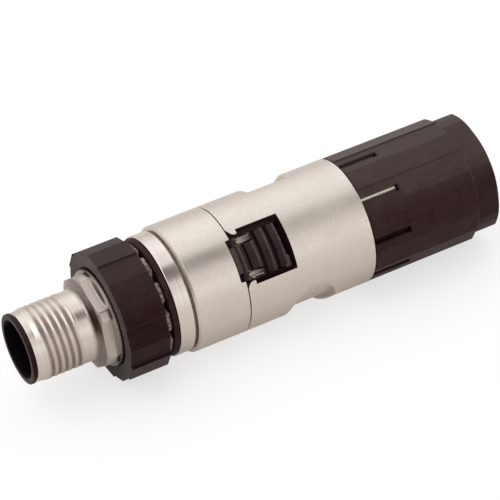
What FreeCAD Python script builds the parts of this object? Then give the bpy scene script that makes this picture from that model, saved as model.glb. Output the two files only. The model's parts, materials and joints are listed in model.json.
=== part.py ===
import FreeCAD, Part
import os
import math
import Sketcher

# M12 cable plug, straight, field wired, with a two-shell metal housing.
# The axis is X and runs from the mouth (x = 0) to the cable end. Z is up and the plug lies on its side.
# Pieces are modelled with the latch or the first rib on +Z, then rolled about X to where they stand.

os.makedirs("parts", exist_ok=True)
doc = FreeCAD.newDocument("m12_connector")
sheet = doc.addObject("Spreadsheet::Sheet", "Sizes")
sheet.Label = "Sizes"
bodies = []


# Sizes and formulas

class Size:
    """A length, angle or count that knows its value and its formula over the sheet's cells."""

    def __init__(self, formula, value):
        self.formula = formula
        self.value = value

    def __add__(self, other):
        other = as_size(other)
        return Size("(%s + %s)" % (self.formula, other.formula), self.value + other.value)

    def __sub__(self, other):
        other = as_size(other)
        return Size("(%s - %s)" % (self.formula, other.formula), self.value - other.value)

    def __mul__(self, other):
        other = as_size(other)
        return Size("(%s * %s)" % (self.formula, other.formula), self.value * other.value)

    def __truediv__(self, other):
        other = as_size(other)
        return Size("(%s / %s)" % (self.formula, other.formula), self.value / other.value)

    def __neg__(self):
        return Size("(0 - %s)" % self.formula, -self.value)

    __radd__ = __add__
    __rmul__ = __mul__


def as_size(number):
    """A plain number as a Size, and a Size as it is."""
    if isinstance(number, Size):
        return number
    return Size(repr(number), number)


def size(alias, number):
    """A driving dimension: one cell of the sheet, with the alias as its name."""
    size.row += 1
    sheet.set("A%d" % size.row, alias)
    sheet.set("B%d" % size.row, str(number))
    sheet.setAlias("B%d" % size.row, alias)
    return Size("Sizes.%s" % alias, number)


size.row = 0


def sine(angle):
    """Sine of an angle in degrees."""
    angle = as_size(angle)
    return Size("sin(%s)" % angle.formula, math.sin(math.radians(angle.value)))


def cosine(angle):
    """Cosine of an angle in degrees."""
    angle = as_size(angle)
    return Size("cos(%s)" % angle.formula, math.cos(math.radians(angle.value)))


# Helpers for the sub-parts

def new_body(label, roll=None):
    """A body named after its node, rolled about the plug's axis."""
    body = doc.addObject("PartDesign::Body", label)
    body.Label = label
    if roll is not None:
        turn = FreeCAD.Rotation(FreeCAD.Vector(1, 0, 0), 1)
        body.Placement = FreeCAD.Placement(FreeCAD.Vector(0, 0, 0), turn)
        body.setExpression("Placement.Rotation.Angle", roll.formula)
    bodies.append(body)
    return body


def sketch_on(body, role, name, lift=None):
    """A sketch on one of the body's own origin planes, lifted along the plane's normal."""
    sketch = body.newObject("Sketcher::SketchObject", name)
    plane = [item for item in body.Origin.OriginFeatures if item.Role == role][0]
    sketch.AttachmentSupport = [(plane, "")]
    sketch.MapMode = "FlatFace"
    if lift is not None:
        sketch.setExpression("AttachmentOffset.Base.z", as_size(lift).formula)
    return sketch


def bind(sketch, kind, *picks):
    """One dimension in a sketch, bound to its formula; the formula is the last pick."""
    amount = as_size(picks[-1])
    index = sketch.addConstraint(Sketcher.Constraint(kind, *picks[:-1], amount.value))
    sketch.setExpression("Constraints[%d]" % index, amount.formula)


def place(sketch, index, end, across, up):
    """Both coordinates of a point of a sketch."""
    bind(sketch, "DistanceX", -1, 1, index, end, across)
    bind(sketch, "DistanceY", -1, 1, index, end, up)


def outline(sketch, points):
    """A closed outline of straight lines through the points."""
    corners = [(as_size(across), as_size(up)) for across, up in points]
    first = sketch.GeometryCount
    count = len(corners)
    for number in range(count):
        start = corners[number]
        stop = corners[(number + 1) % count]
        line = Part.LineSegment(
            FreeCAD.Vector(start[0].value, start[1].value, 0),
            FreeCAD.Vector(stop[0].value, stop[1].value, 0))
        sketch.addGeometry(line, False)
    for number in range(count):
        following = first + (number + 1) % count
        sketch.addConstraint(Sketcher.Constraint("Coincident", first + number, 2, following, 1))
    for number in range(count):
        place(sketch, first + number, 1, corners[number][0], corners[number][1])


def rectangle(sketch, low, high):
    """A rectangle between two opposite corners."""
    outline(sketch, [low, (high[0], low[1]), high, (low[0], high[1])])


def circle(sketch, across, up, radius):
    """A circle by its centre and radius."""
    centre = FreeCAD.Vector(as_size(across).value, as_size(up).value, 0)
    index = sketch.addGeometry(Part.Circle(centre, FreeCAD.Vector(0, 0, 1), as_size(radius).value), False)
    place(sketch, index, 3, across, up)
    bind(sketch, "Radius", index, radius)


def obround(sketch, centre, half_run, radius):
    """A slot with round ends: half_run is the distance from its middle to the centre of each end."""
    across, up = as_size(centre[0]), as_size(centre[1])
    first = sketch.GeometryCount
    for number, turn in enumerate((1, -1)):
        middle = FreeCAD.Vector((across + half_run * turn).value, up.value, 0)
        start = -math.pi / 2 * turn
        ring = Part.Circle(middle, FreeCAD.Vector(0, 0, 1), radius.value)
        sketch.addGeometry(Part.ArcOfCircle(ring, start, start + math.pi), False)
        place(sketch, first + number, 3, across + half_run * turn, up)
    for number in range(2):
        ends = [sketch.getPoint(first + number, 2), sketch.getPoint(first + 1 - number, 1)]
        sketch.addGeometry(Part.LineSegment(ends[0], ends[1]), False)
        sketch.addConstraint(Sketcher.Constraint("Tangent", first + number, 2, first + 2 + number, 1))
        sketch.addConstraint(Sketcher.Constraint("Tangent", first + 2 + number, 2, first + 1 - number, 1))
    bind(sketch, "Radius", first, radius)


def revolve(body, sketch, angle=None):
    """Turn a sketch about its own X axis; a given angle is shared evenly about the sketch."""
    feature = body.newObject("PartDesign::Revolution", sketch.Name + "_turned")
    feature.Profile = sketch
    feature.ReferenceAxis = (sketch, ["H_Axis"])
    feature.Angle = 360
    if angle is not None:
        feature.Midplane = True
        feature.setExpression("Angle", angle.formula)
    return feature


def pad(body, sketch, length, symmetric=False):
    """Add the sketch's outline along its normal."""
    feature = body.newObject("PartDesign::Pad", sketch.Name + "_pad")
    feature.Profile = sketch
    feature.SideType = "Symmetric" if symmetric else "One side"
    feature.setExpression("Length", as_size(length).formula)
    return feature


def pocket(body, sketch, length, symmetric=False):
    """Cut the sketch's outline out along its normal, or evenly to both sides."""
    feature = body.newObject("PartDesign::Pocket", sketch.Name + "_cut")
    feature.Profile = sketch
    feature.SideType = "Symmetric" if symmetric else "One side"
    feature.Reversed = True
    feature.setExpression("Length", as_size(length).formula)
    return feature


def around(body, feature, count, name):
    """Repeat a feature evenly about the plug's axis."""
    pattern = body.newObject("PartDesign::PolarPattern", name)
    pattern.Originals = [feature]
    axis = [item for item in body.Origin.OriginFeatures if item.Role == "X_Axis"][0]
    pattern.Axis = (axis, [""])
    pattern.Angle = 360
    pattern.setExpression("Occurrences", count.formula)
    body.Tip = pattern
    return pattern


def soften(body, radius, chosen, name, kind="Fillet"):
    """Round or chamfer the edges that the chosen test accepts."""
    doc.recompute()
    base = body.Tip
    names = []
    for number, edge in enumerate(base.Shape.Edges):
        if chosen(edge):
            names.append("Edge%d" % (number + 1))
    if not names:
        raise RuntimeError("no edge found for " + name)
    feature = body.newObject("PartDesign::" + kind, name)
    feature.Base = (base, names)
    feature.setExpression("Radius" if kind == "Fillet" else "Size", radius.formula)
    return feature


def tube(sketch, start, stop, inside, outside):
    """Half the section of a plain ring or tube."""
    rectangle(sketch, (start, inside), (stop, outside))


def spoke(radius, turn):
    """A point of a cross-section, by its distance from the axis and its turn from +Z."""
    radius = as_size(radius)
    return (-(radius * sine(turn)), radius * cosine(turn))


def ring_region(sketch, radius, corners):
    """The region between a round outside and an inner polygon."""
    circle(sketch, 0, 0, radius)
    outline(sketch, corners)


# How the pieces stand about the axis, in degrees from +Z towards the viewer's side

housing_roll = size("housing_roll", 48.5)
hex_roll = size("hex_roll", 51.4)
grip_roll = size("grip_roll", 59)
nut_roll = size("nut_roll", 0)
contact_roll = size("contact_roll", 45)
contact_count = 4
contact_pitch = size("contact_pitch", 90)

# Clearances

turn_gap = size("turn_gap", 0.1)
seat_gap = size("seat_gap", 0.05)
bond_gap = size("bond_gap", 0.02)
move_gap = size("move_gap", 0.3)
past = size("cutter_reach", 1.0)

# Mouth and coupling screw

lip_length = size("lip_length", 0.6)
lip_r = size("lip_radius", 5.7)
mouth_r = size("mouth_radius", 4.75)
mouth_depth = size("mouth_depth", 3.2)
carrier_wall = size("carrier_wall", 0.65)
carrier_r = size("carrier_radius", 5.05)
cup_depth = size("cup_depth", 10)

thread_r = size("thread_radius", 5.88)
lead_chamfer = size("lead_chamfer", 0.25)
thread_length = size("thread_length", 7.55)
plain_length = size("plain_length", 2.9)
plain_depth = size("plain_undercut", 0.18)

hex_across = size("hex_across_flats", 14.4)
hub_r = size("hub_radius", 7.95)
hex_corner_r = hub_r + size("hex_corner_overhang", 0.1)
hex_length = size("hex_length", 1.75)
hex_face_r = hub_r - size("hex_face_inset", 1.45)
hex_bevel = size("hex_bevel_slope", 0.4)
hub_front_length = size("hub_front_length", 1.2)
hub_round = size("hub_rounding", 0.35)
lobe_r = hub_r + size("lobe_height", 1.55)
lobe_length = size("lobe_length", 0.9)
lobe_count = size("lobe_count", 12)
scallop_r = size("scallop_radius", 0.8)
scallop_lift = size("scallop_centre_lift", 0.2)

metal_front = lip_length + turn_gap
thread_stop = metal_front + thread_length
hex_front = thread_stop + plain_length
hex_stop = hex_front + hex_length
grip_front = hex_stop + hub_front_length
coupling_bore = carrier_r + turn_gap

# Grip ring

grip_length = size("grip_length", 6.75)
rib_r = size("rib_radius", 10.85)
rib_count = size("rib_count", 6)
rib_spread = size("rib_spread", 20)
valley_edge_r = rib_r - size("rib_height", 0.4)
valley_peak_r = valley_edge_r + size("valley_rise", 0.2)
grip_mouth_r = hub_r + size("grip_mouth_gap", 0.2)
grip_mouth_depth = size("grip_mouth_depth", 0.6)

grip_stop = grip_front + grip_length
lobe_stop = grip_stop + lobe_length

# Spigot, snap ring and seal that hold the coupling screw

spigot_r = size("spigot_radius", 6.3)
spigot_inset = size("spigot_inset", 0.5)
chamber_wall = size("chamber_wall", 0.9)
chamber_length = size("chamber_length", 2.4)
snap_thick = size("snap_ring_thickness", 0.8)
snap_depth = size("snap_ring_groove_depth", 0.65)
snap_opening = size("snap_ring_opening", 1.6)
washer_thick = size("coupling_seal_thickness", 0.75)

chamber_front = hex_stop + bond_gap
chamber_stop = chamber_front + chamber_length
chamber_r = hub_r - chamber_wall
spigot_front = chamber_front + spigot_inset
snap_stop = chamber_stop - move_gap
snap_front = snap_stop - snap_thick
groove_r = spigot_r - snap_depth
washer_front = lobe_stop + move_gap
washer_stop = washer_front + washer_thick

# Housing shells

body_r = size("body_radius", 10.43)
collar_r = body_r - size("collar_ring_inset", 0.53)
washer_r = collar_r - size("coupling_seal_inset", 0.3)
collar_length = size("collar_ring_length", 2.65)
collar_bevel = size("collar_ring_bevel", 0.2)
neck_r = spigot_r + size("neck_height", 1.25)
front_round = size("front_rounding", 0.5)
front_shell = size("front_shell_length", 9.2)
rear_shell = size("rear_shell_length", 22.5)
rear_bevel = size("rear_bevel", 0.15)
plug_r = body_r - size("plug_inset", 1.83)
plug_wall = size("plug_wall", 0.95)
plug_length = size("plug_length", 11.4)
cavity_inset = size("cavity_inset", 2.5)
shell_wall = size("shell_wall", 1.13)
wide_bore_length = size("wide_bore_length", 7.3)
recess_depth = size("recess_depth", 0.93)
recess_half_length = size("recess_half_length", 4.15)
recess_half_width = size("recess_half_width", 5.75)
recess_flat_front = size("recess_flat_front", 3.95)
recess_flat_rear = size("recess_flat_rear", 3.0)
recess_shoulder = size("recess_shoulder", 3.4)
recess_place = size("recess_place", 11.55)
recess_turn = size("recess_turn", 8.25)
recess_step = size("recess_corner_step", 22.5)

shoulder = washer_stop + seat_gap
collar_stop = shoulder + collar_length
body_front = collar_stop + seat_gap
seam = body_front + front_shell
body_stop = seam + rear_shell
plug_bore = plug_r - plug_wall
plug_stop = seam + plug_length
cavity_front = body_front + cavity_inset
wide_bore = body_r - shell_wall
floor_r = body_r - recess_depth
rear_bore = plug_r + seat_gap

# Seals between the shells and at the cage

ring_cord = size("seal_cord_radius", 0.5)
ring_depth = size("seal_groove_depth", 0.9)
ring_width = size("seal_groove_width", 1.2)
ring_sides = size("seal_section_step", 45)
seam_seal_place = size("seam_seal_place", 1.0)
cage_seal_place = size("cage_seal_place", 2.4)

# Latch window, latch and its hinge

window_front = size("window_front", 1.6)
window_length = size("window_length", 7.2)
window_half = size("window_half_width", 4.41)
mouth_half = size("window_mouth_half_width", 3.75)
flare_half = size("window_flare_half_width", 5.3)
flare_length = size("window_flare_length", 0.9)
flare_bend = size("window_flare_bend", 0.3)
notch_depth = size("notch_depth", 0.85)
notch_half = size("notch_half_width", 3.5)
latch_front_gap = size("latch_front_gap", 0.55)
latch_length = size("latch_length", 7.95)
latch_spread = size("latch_spread", 40.6)
latch_under_r = body_r - size("latch_under_inset", 1.28)
latch_tab_length = size("latch_tab_length", 0.6)
latch_tab_half = size("latch_tab_half_width", 2.1)
latch_corner = size("latch_corner_radius", 0.8)
latch_low_r = body_r - size("latch_groove_inset", 0.65)
latch_top_r = body_r - size("latch_ridge_inset", 0.25)
latch_mid_r = (latch_low_r + latch_top_r) / 2
latch_pitch = size("latch_rib_pitch", 2.16)
ridge_place = size("latch_first_ridge", 1.25)
ridge_tail = size("latch_ridge_tail", 0.55)
ridge_ramp = size("latch_ridge_ramp", 1.3)
slot_half = size("latch_slot_half_width", 0.55)
slot_place = size("latch_slot_place", 2.65)
slot_middle = size("latch_slot_middle", 2.6)
slot_run = size("latch_slot_half_run", 1.05)
post_gap = size("post_gap", 0.1)
post_top = body_r - size("post_inset", 0.93)
pin_place = size("hinge_place", 1.7)
pin_height = body_r - size("hinge_inset", 1.58)
pin_r = size("hinge_pin_radius", 0.3)
pin_gap = size("hinge_gap", 0.05)
barrel_half = size("hinge_barrel_half_length", 0.7)
barrel_under = pin_height - size("hinge_barrel_depth", 0.5)
barrel_side = size("hinge_barrel_side_gap", 0.1)
bed_thick = size("bed_thickness", 0.4)
bed_spread = size("bed_spread", 58)

latch_front = seam - notch_depth + latch_front_gap
latch_stop = latch_front + latch_length
hinge_at = latch_front + pin_place
slot_at = latch_front + slot_middle
post_foot = plug_bore - seat_gap
swing_front = slot_at + slot_run + slot_half + post_gap
swing_stop = seam + window_front + window_length
post_half = slot_half - post_gap
post_inner = slot_place - post_half
barrel_width = (slot_place - slot_half) * 2

# Contacts, wiring and shield

pin_circle = size("contact_circle_radius", 3.54)
contact_r = size("contact_radius", 0.5)
contact_inset = size("contact_inset", 3.9)
contact_tip = size("contact_tip_length", 0.4)
contact_tip_r = size("contact_tip_radius", 0.22)
contact_hole_gap = size("contact_hole_gap", 0.03)
block_r = plug_bore - size("block_gap", 0.35)
block_length = size("block_length", 9.8)
key_half = size("key_half_width", 0.5)
key_height = size("key_height", 0.6)
fork_length = size("fork_length", 4.4)
fork_half = size("fork_half_width", 1.2)
fork_thick = size("fork_thickness", 0.5)
fork_slot = size("fork_slot_half_width", 0.18)
manager_length = size("wire_manager_length", 7.6)
wire_r = size("wire_hole_radius", 0.85)
can_thick = size("shield_can_thickness", 0.2)
can_gap = size("shield_can_gap", 0.05)

block_front = cavity_front + seat_gap
block_stop = block_front + block_length
manager_front = block_stop + seat_gap
manager_stop = manager_front + manager_length
can_r = plug_bore - can_gap

# Cage, rods, cable seal and washer

cage_plug = size("cage_plug_length", 7.1)
cage_wall = size("cage_wall", 1.7)
skirt_r = body_r - size("cage_skirt_inset", 0.83)
skirt_length = size("cage_skirt_length", 6.5)
cage_thread_r = skirt_r - size("cage_thread_inset", 0.8)
cage_thread_length = size("cage_thread_length", 4.7)
finger_length = size("finger_length", 5.2)
finger_r = cage_thread_r - size("finger_inset", 1.2)
finger_tip_r = finger_r - size("finger_taper", 0.65)
finger_wall = size("finger_wall", 0.5)
finger_slot = size("finger_slot_half_width", 0.35)
finger_count = size("finger_count", 8)
rod_r = size("shield_spring_radius", 0.4)
rod_count = 3
rod_spacing = size("shield_spring_spacing", 120)
rod_roll = size("shield_spring_roll", 38.2)
cable_r = size("cable_bore_radius", 3.3)
seal_r = finger_tip_r - finger_wall - seat_gap
seal_length = size("cable_seal_length", 6.8)
nut_bore = size("nut_bore_radius", 4.3)
thrust_thick = size("thrust_washer_thickness", 1.0)
thrust_r = seal_r - turn_gap

skirt_front = body_stop + seat_gap
cage_front = body_stop - cage_plug
skirt_stop = skirt_front + skirt_length
cage_thread_stop = skirt_stop + cage_thread_length
cage_stop = cage_thread_stop + finger_length
cage_bore = seal_r + seat_gap
seal_stop = cage_stop + seat_gap
thrust_front = seal_stop + move_gap
thrust_stop = thrust_front + thrust_thick

# Gland nut

nut_sectors = size("nut_sector_count", 9)
nut_facet = size("nut_facet_spread", 20)
nut_wall = size("nut_wall", 0.65)
nut_mid_rise = size("nut_middle_rise", 0.12)
nut_rise = size("nut_tooth_rise", 0.22)
nut_length = size("nut_faceted_length", 18.95)
nut_slope = size("nut_slope_length", 0.2)
nut_end = size("nut_end_length", 4.3)
nut_end_flat_inset = size("nut_end_flat_inset", 0.85)
nut_end_inset = size("nut_end_corner_inset", 0.25)
nut_end_face_inset = size("nut_end_face_inset", 0.5)
nut_end_bevel = size("nut_end_bevel_slope", 0.6)
nut_slot_half = size("nut_slot_half_width", 0.6)
nut_slot_length = size("nut_slot_length", 6.75)
nut_cone_gap = size("nut_cone_gap", 0.5)

nut_front = skirt_front + turn_gap
facet_stop = nut_front + nut_length
slope_stop = facet_stop + nut_slope
nut_stop = slope_stop + nut_end
nut_skirt_bore = skirt_r + turn_gap + seat_gap
nut_thread_bore = cage_thread_r + turn_gap
nut_low_r = nut_skirt_bore + nut_wall
nut_mid_r = nut_low_r + nut_mid_rise
nut_high_r = nut_low_r + nut_rise
nut_end_across = (nut_low_r - nut_end_flat_inset) * 2
nut_end_r = nut_low_r - nut_end_inset
nut_end_face_r = nut_end_r - nut_end_face_inset


# Coupling screw, grip ring and what holds them

def make_coupling_screw():
    body = new_body("coupling_screw", hex_roll)
    section = sketch_on(body, "XY_Plane", "screw_section")
    bevel_stop = hex_front + (hex_corner_r - hex_face_r) * hex_bevel
    outline(section, [
        (metal_front, coupling_bore),
        (metal_front, thread_r - lead_chamfer),
        (metal_front + lead_chamfer, thread_r),
        (thread_stop, thread_r),
        (thread_stop, thread_r - plain_depth),
        (hex_front, thread_r - plain_depth),
        (hex_front, hex_face_r),
        (bevel_stop, hex_corner_r),
        (hex_stop, hex_corner_r),
        (hex_stop, hub_r - hub_round),
        (hex_stop + hub_round, hub_r),
        (grip_stop, hub_r),
        (grip_stop, lobe_r),
        (lobe_stop, lobe_r),
        (lobe_stop, spigot_r + turn_gap),
        (chamber_stop, spigot_r + turn_gap),
        (chamber_stop, chamber_r),
        (chamber_front, chamber_r),
        (chamber_front, coupling_bore)])
    revolve(body, section)
    corner_r = hex_across / (cosine(30) * 2)
    flats = sketch_on(body, "YZ_Plane", "screw_flats", hex_front)
    ring_region(flats, hex_corner_r + past, [spoke(corner_r, 60 * number) for number in range(6)])
    pocket(body, flats, hex_length)
    scallop = sketch_on(body, "YZ_Plane", "screw_scallop", grip_stop + seat_gap)
    centre = spoke(lobe_r + scallop_lift, as_size(180) / lobe_count)
    circle(scallop, centre[0], centre[1], scallop_r)
    cut = pocket(body, scallop, lobe_length)
    around(body, cut, lobe_count, "screw_scallops")


def make_grip_ring():
    body = new_body("grip_ring", grip_roll)
    section = sketch_on(body, "XY_Plane", "grip_section")
    outline(section, [
        (grip_front, grip_mouth_r),
        (grip_front, rib_r),
        (grip_stop - seat_gap, rib_r),
        (grip_stop - seat_gap, hub_r + bond_gap),
        (grip_front + grip_mouth_depth, hub_r + bond_gap),
        (grip_front + grip_mouth_depth, grip_mouth_r)])
    revolve(body, section)
    half = rib_spread / 2
    pitch = as_size(360) / rib_count
    valley = sketch_on(body, "YZ_Plane", "grip_valley", grip_front - past)
    outline(valley, [
        spoke(rib_r, -half),
        spoke(rib_r, half),
        spoke(valley_edge_r, half),
        spoke(valley_peak_r, pitch / 2),
        spoke(valley_edge_r, pitch - half),
        spoke(rib_r + past * 2, pitch - half),
        spoke(rib_r + past * 2, pitch / 2),
        spoke(rib_r + past * 2, half),
        spoke(rib_r + past * 2, -half)])
    cut = pocket(body, valley, grip_length + past * 2)
    around(body, cut, rib_count, "grip_valleys")


def make_snap_ring():
    body = new_body("snap_ring", housing_roll)
    section = sketch_on(body, "XY_Plane", "snap_section")
    tube(section, snap_front, snap_stop, groove_r + seat_gap, chamber_r - turn_gap)
    revolve(body, section)
    opening = sketch_on(body, "YZ_Plane", "snap_opening", snap_front - past)
    rectangle(opening, (-(snap_opening / 2), groove_r - past), (snap_opening / 2, chamber_r + past))
    pocket(body, opening, snap_thick + past * 2)


def make_coupling_seal():
    body = new_body("coupling_seal")
    section = sketch_on(body, "XY_Plane", "washer_section")
    bevel = washer_thick / 4
    outline(section, [
        (washer_front, spigot_r + seat_gap),
        (washer_front, washer_r - bevel),
        (washer_front + bevel, washer_r),
        (washer_stop - bevel, washer_r),
        (washer_stop, washer_r - bevel),
        (washer_stop, spigot_r + seat_gap)])
    revolve(body, section)


def make_collar_ring():
    body = new_body("collar_ring")
    section = sketch_on(body, "XY_Plane", "collar_section")
    outline(section, [
        (shoulder + seat_gap, neck_r + seat_gap),
        (shoulder + seat_gap, collar_r - collar_bevel),
        (shoulder + seat_gap + collar_bevel, collar_r),
        (collar_stop, collar_r),
        (collar_stop, neck_r + seat_gap)])
    revolve(body, section)


# Housing shells

def make_front_housing():
    body = new_body("front_housing", housing_roll)
    seal_at = plug_stop - seam_seal_place
    section = sketch_on(body, "XY_Plane", "front_section")
    outline(section, [
        (spigot_front, carrier_r + seat_gap),
        (spigot_front, spigot_r),
        (snap_front - seat_gap, spigot_r),
        (snap_front - seat_gap, groove_r),
        (snap_stop + seat_gap, groove_r),
        (snap_stop + seat_gap, spigot_r),
        (shoulder, spigot_r),
        (shoulder, neck_r),
        (body_front, neck_r),
        (body_front, body_r - front_round),
        (body_front + front_round * 0.3, body_r - front_round * 0.3),
        (body_front + front_round, body_r),
        (seam, body_r),
        (seam, plug_r),
        (seal_at - ring_width / 2, plug_r),
        (seal_at - ring_width / 2, plug_r - ring_depth),
        (seal_at + ring_width / 2, plug_r - ring_depth),
        (seal_at + ring_width / 2, plug_r),
        (plug_stop, plug_r),
        (plug_stop, plug_bore),
        (cavity_front, plug_bore),
        (cavity_front, carrier_r + seat_gap)])
    revolve(body, section)
    notch = sketch_on(body, "XY_Plane", "front_notch", latch_under_r - move_gap)
    rectangle(notch, (seam - notch_depth, -notch_half), (seam, notch_half))
    pocket(body, notch, body_r)
    swing = sketch_on(body, "XY_Plane", "front_swing", plug_bore - past)
    swing_half = window_half - move_gap
    rectangle(swing, (swing_front, -swing_half), (swing_stop, swing_half))
    pocket(body, swing, body_r)
    trough = sketch_on(body, "XY_Plane", "front_trough", barrel_under - move_gap)
    trough_half = barrel_half + move_gap
    rectangle(trough, (hinge_at - trough_half, -post_inner), (hinge_at + trough_half, post_inner))
    pocket(body, trough, body_r)
    posts = sketch_on(body, "XY_Plane", "front_posts", post_foot)
    obround(posts, (slot_at, slot_place), slot_run, post_half)
    obround(posts, (slot_at, -slot_place), slot_run, post_half)
    pad(body, posts, post_top - post_foot)
    bore = sketch_on(body, "XZ_Plane", "front_hinge_bore")
    circle(bore, hinge_at, pin_height, pin_r)
    pocket(body, bore, (slot_place + post_half + past) * 2, symmetric=True)


def window_outline():
    """The latch window with its narrower mouth and the flare at the seam, seen from outside."""
    side = [
        (seam - seat_gap, flare_half),
        (seam + flare_length * flare_bend, mouth_half + (flare_half - mouth_half) * flare_bend),
        (seam + flare_length, mouth_half),
        (seam + window_front - bond_gap * 10, mouth_half),
        (seam + window_front, mouth_half + seat_gap * 3),
        (seam + window_front, window_half),
        (swing_stop, window_half)]
    return side + [(across, -up) for across, up in reversed(side)]


def make_rear_housing():
    body = new_body("rear_housing", housing_roll)
    shell = sketch_on(body, "XY_Plane", "rear_shell")
    outline(shell, [
        (seam + seat_gap, wide_bore),
        (seam + seat_gap, body_r),
        (body_stop - rear_bevel, body_r),
        (body_stop, body_r - rear_bevel),
        (body_stop, floor_r),
        (seam + wide_bore_length, floor_r),
        (seam + wide_bore_length, wide_bore)])
    revolve(body, shell)
    recess = sketch_on(body, "XZ_Plane", "rear_recess")
    turn = FreeCAD.Rotation(FreeCAD.Vector(-1, 0, 0), 1)
    recess.AttachmentOffset = FreeCAD.Placement(FreeCAD.Vector(0, 0, 0), turn)
    recess.setExpression("AttachmentOffset.Rotation.Angle", recess_turn.formula)
    middle = seam + recess_place
    turns = [recess_step * number for number in range(9)]
    bow = [(middle + recess_half_length * cosine(step), recess_half_width * sine(step)) for step in turns]
    outline(recess, bow + [
        (middle - recess_flat_front, -recess_half_width),
        (middle + recess_flat_rear, -recess_half_width),
        (middle + recess_shoulder, -recess_shoulder)])
    cut = pocket(body, recess, body_r + past)
    around(body, cut, as_size(2), "rear_recesses")
    liner = sketch_on(body, "XY_Plane", "rear_liner")
    tube(liner, seam + wide_bore_length, body_stop, rear_bore, floor_r)
    revolve(body, liner)
    window = sketch_on(body, "XY_Plane", "rear_window", plug_bore - past)
    outline(window, window_outline())
    pocket(body, window, body_r)


def make_seal_ring(label, place):
    """An O-ring in a groove of the plug radius."""
    body = new_body(label)
    section = sketch_on(body, "XY_Plane", label + "_section")
    middle = plug_r - ring_depth + ring_cord
    cord = ring_cord - seat_gap
    turns = [ring_sides / 2 + ring_sides * number for number in range(8)]
    outline(section, [(place + cord * sine(turn), middle + cord * cosine(turn)) for turn in turns])
    revolve(body, section)


# Latch

def make_release_latch():
    body = new_body("release_latch", housing_roll)
    section = sketch_on(body, "XZ_Plane", "latch_section")
    ridges = [latch_front + ridge_place + latch_pitch * number for number in range(4)]
    points = [
        (latch_front, latch_under_r),
        (latch_front, latch_low_r - ridge_tail / 2),
        (latch_front + latch_tab_length, latch_low_r)]
    for ridge in ridges[:-1]:
        points.append((ridge - ridge_tail / 4, latch_top_r - seat_gap))
        points.append((ridge + ridge_tail / 4, latch_top_r))
        points.append((ridge + ridge_tail, latch_mid_r))
        points.append((ridge + ridge_tail + seat_gap * 2, latch_low_r))
        points.append((ridge + latch_pitch - ridge_ramp, latch_low_r))
    points.append((ridges[-1] - ridge_tail / 4, latch_top_r - seat_gap))
    points.append((latch_stop - ridge_tail / 4, latch_top_r))
    points.append((latch_stop, latch_mid_r))
    points.append((latch_stop, latch_under_r))
    outline(section, points)
    revolve(body, section, latch_spread)

    def rear_corner(edge):
        if not isinstance(edge.Curve, Part.Line):
            return False
        return all(abs(vertex.Point.x - latch_stop.value) < 0.01 for vertex in edge.Vertexes)

    soften(body, latch_corner, rear_corner, "latch_corners")
    slots = sketch_on(body, "XY_Plane", "latch_slots", pin_height - past)
    obround(slots, (slot_at, slot_place), slot_run, slot_half)
    obround(slots, (slot_at, -slot_place), slot_run, slot_half)
    pocket(body, slots, body_r)
    shoulders = sketch_on(body, "XY_Plane", "latch_shoulders", pin_height - past)
    tab_stop = latch_front + latch_tab_length
    rectangle(shoulders, (latch_front - past, latch_tab_half), (tab_stop, window_half + past))
    rectangle(shoulders, (latch_front - past, -window_half - past), (tab_stop, -latch_tab_half))
    pocket(body, shoulders, body_r)
    barrel = sketch_on(body, "XY_Plane", "latch_barrel", barrel_under)
    half = barrel_width / 2 - barrel_side
    rectangle(barrel, (hinge_at - barrel_half, -half), (hinge_at + barrel_half, half))
    pad(body, barrel, latch_low_r - barrel_under - seat_gap * 5)
    bore = sketch_on(body, "XZ_Plane", "latch_bore")
    circle(bore, hinge_at, pin_height, pin_r + pin_gap)
    pocket(body, bore, slot_place * 2, symmetric=True)


def make_latch_pin():
    body = new_body("latch_pin", housing_roll)
    section = sketch_on(body, "XZ_Plane", "hinge_section")
    circle(section, hinge_at, pin_height, pin_r)
    pad(body, section, (slot_place + post_half) * 2, symmetric=True)


def make_latch_bed():
    body = new_body("latch_bed", housing_roll)
    section = sketch_on(body, "XZ_Plane", "bed_section")
    tube(section, swing_front + seat_gap, swing_stop - seat_gap * 2, plug_bore, plug_bore + bed_thick)
    revolve(body, section, bed_spread)


# Contacts, insulator, wiring guide and shield

def contact_spots(sketch, radius):
    """Four round holes on the contact circle."""
    for number in range(contact_count):
        spot = spoke(pin_circle, contact_roll + contact_pitch * number)
        circle(sketch, spot[0], spot[1], radius)


def make_contact_carrier():
    body = new_body("contact_carrier", housing_roll)
    cup_r = carrier_r - carrier_wall
    section = sketch_on(body, "XY_Plane", "carrier_section")
    outline(section, [
        (0, mouth_r),
        (0, lip_r),
        (lip_length, lip_r),
        (lip_length, carrier_r),
        (block_front, carrier_r),
        (block_front, block_r),
        (block_stop, block_r),
        (block_stop, 0),
        (cup_depth, 0),
        (cup_depth, cup_r),
        (mouth_depth, cup_r),
        (mouth_depth, mouth_r)])
    revolve(body, section)
    key = sketch_on(body, "YZ_Plane", "carrier_key", mouth_depth)
    rectangle(key, (-key_half, cup_r - key_height), (key_half, cup_r + carrier_wall / 2))
    pad(body, key, cup_depth - mouth_depth + carrier_wall)
    holes = sketch_on(body, "YZ_Plane", "carrier_holes", cup_depth - past)
    contact_spots(holes, contact_r + contact_hole_gap)
    pocket(body, holes, block_stop - cup_depth + past * 2)


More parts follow.
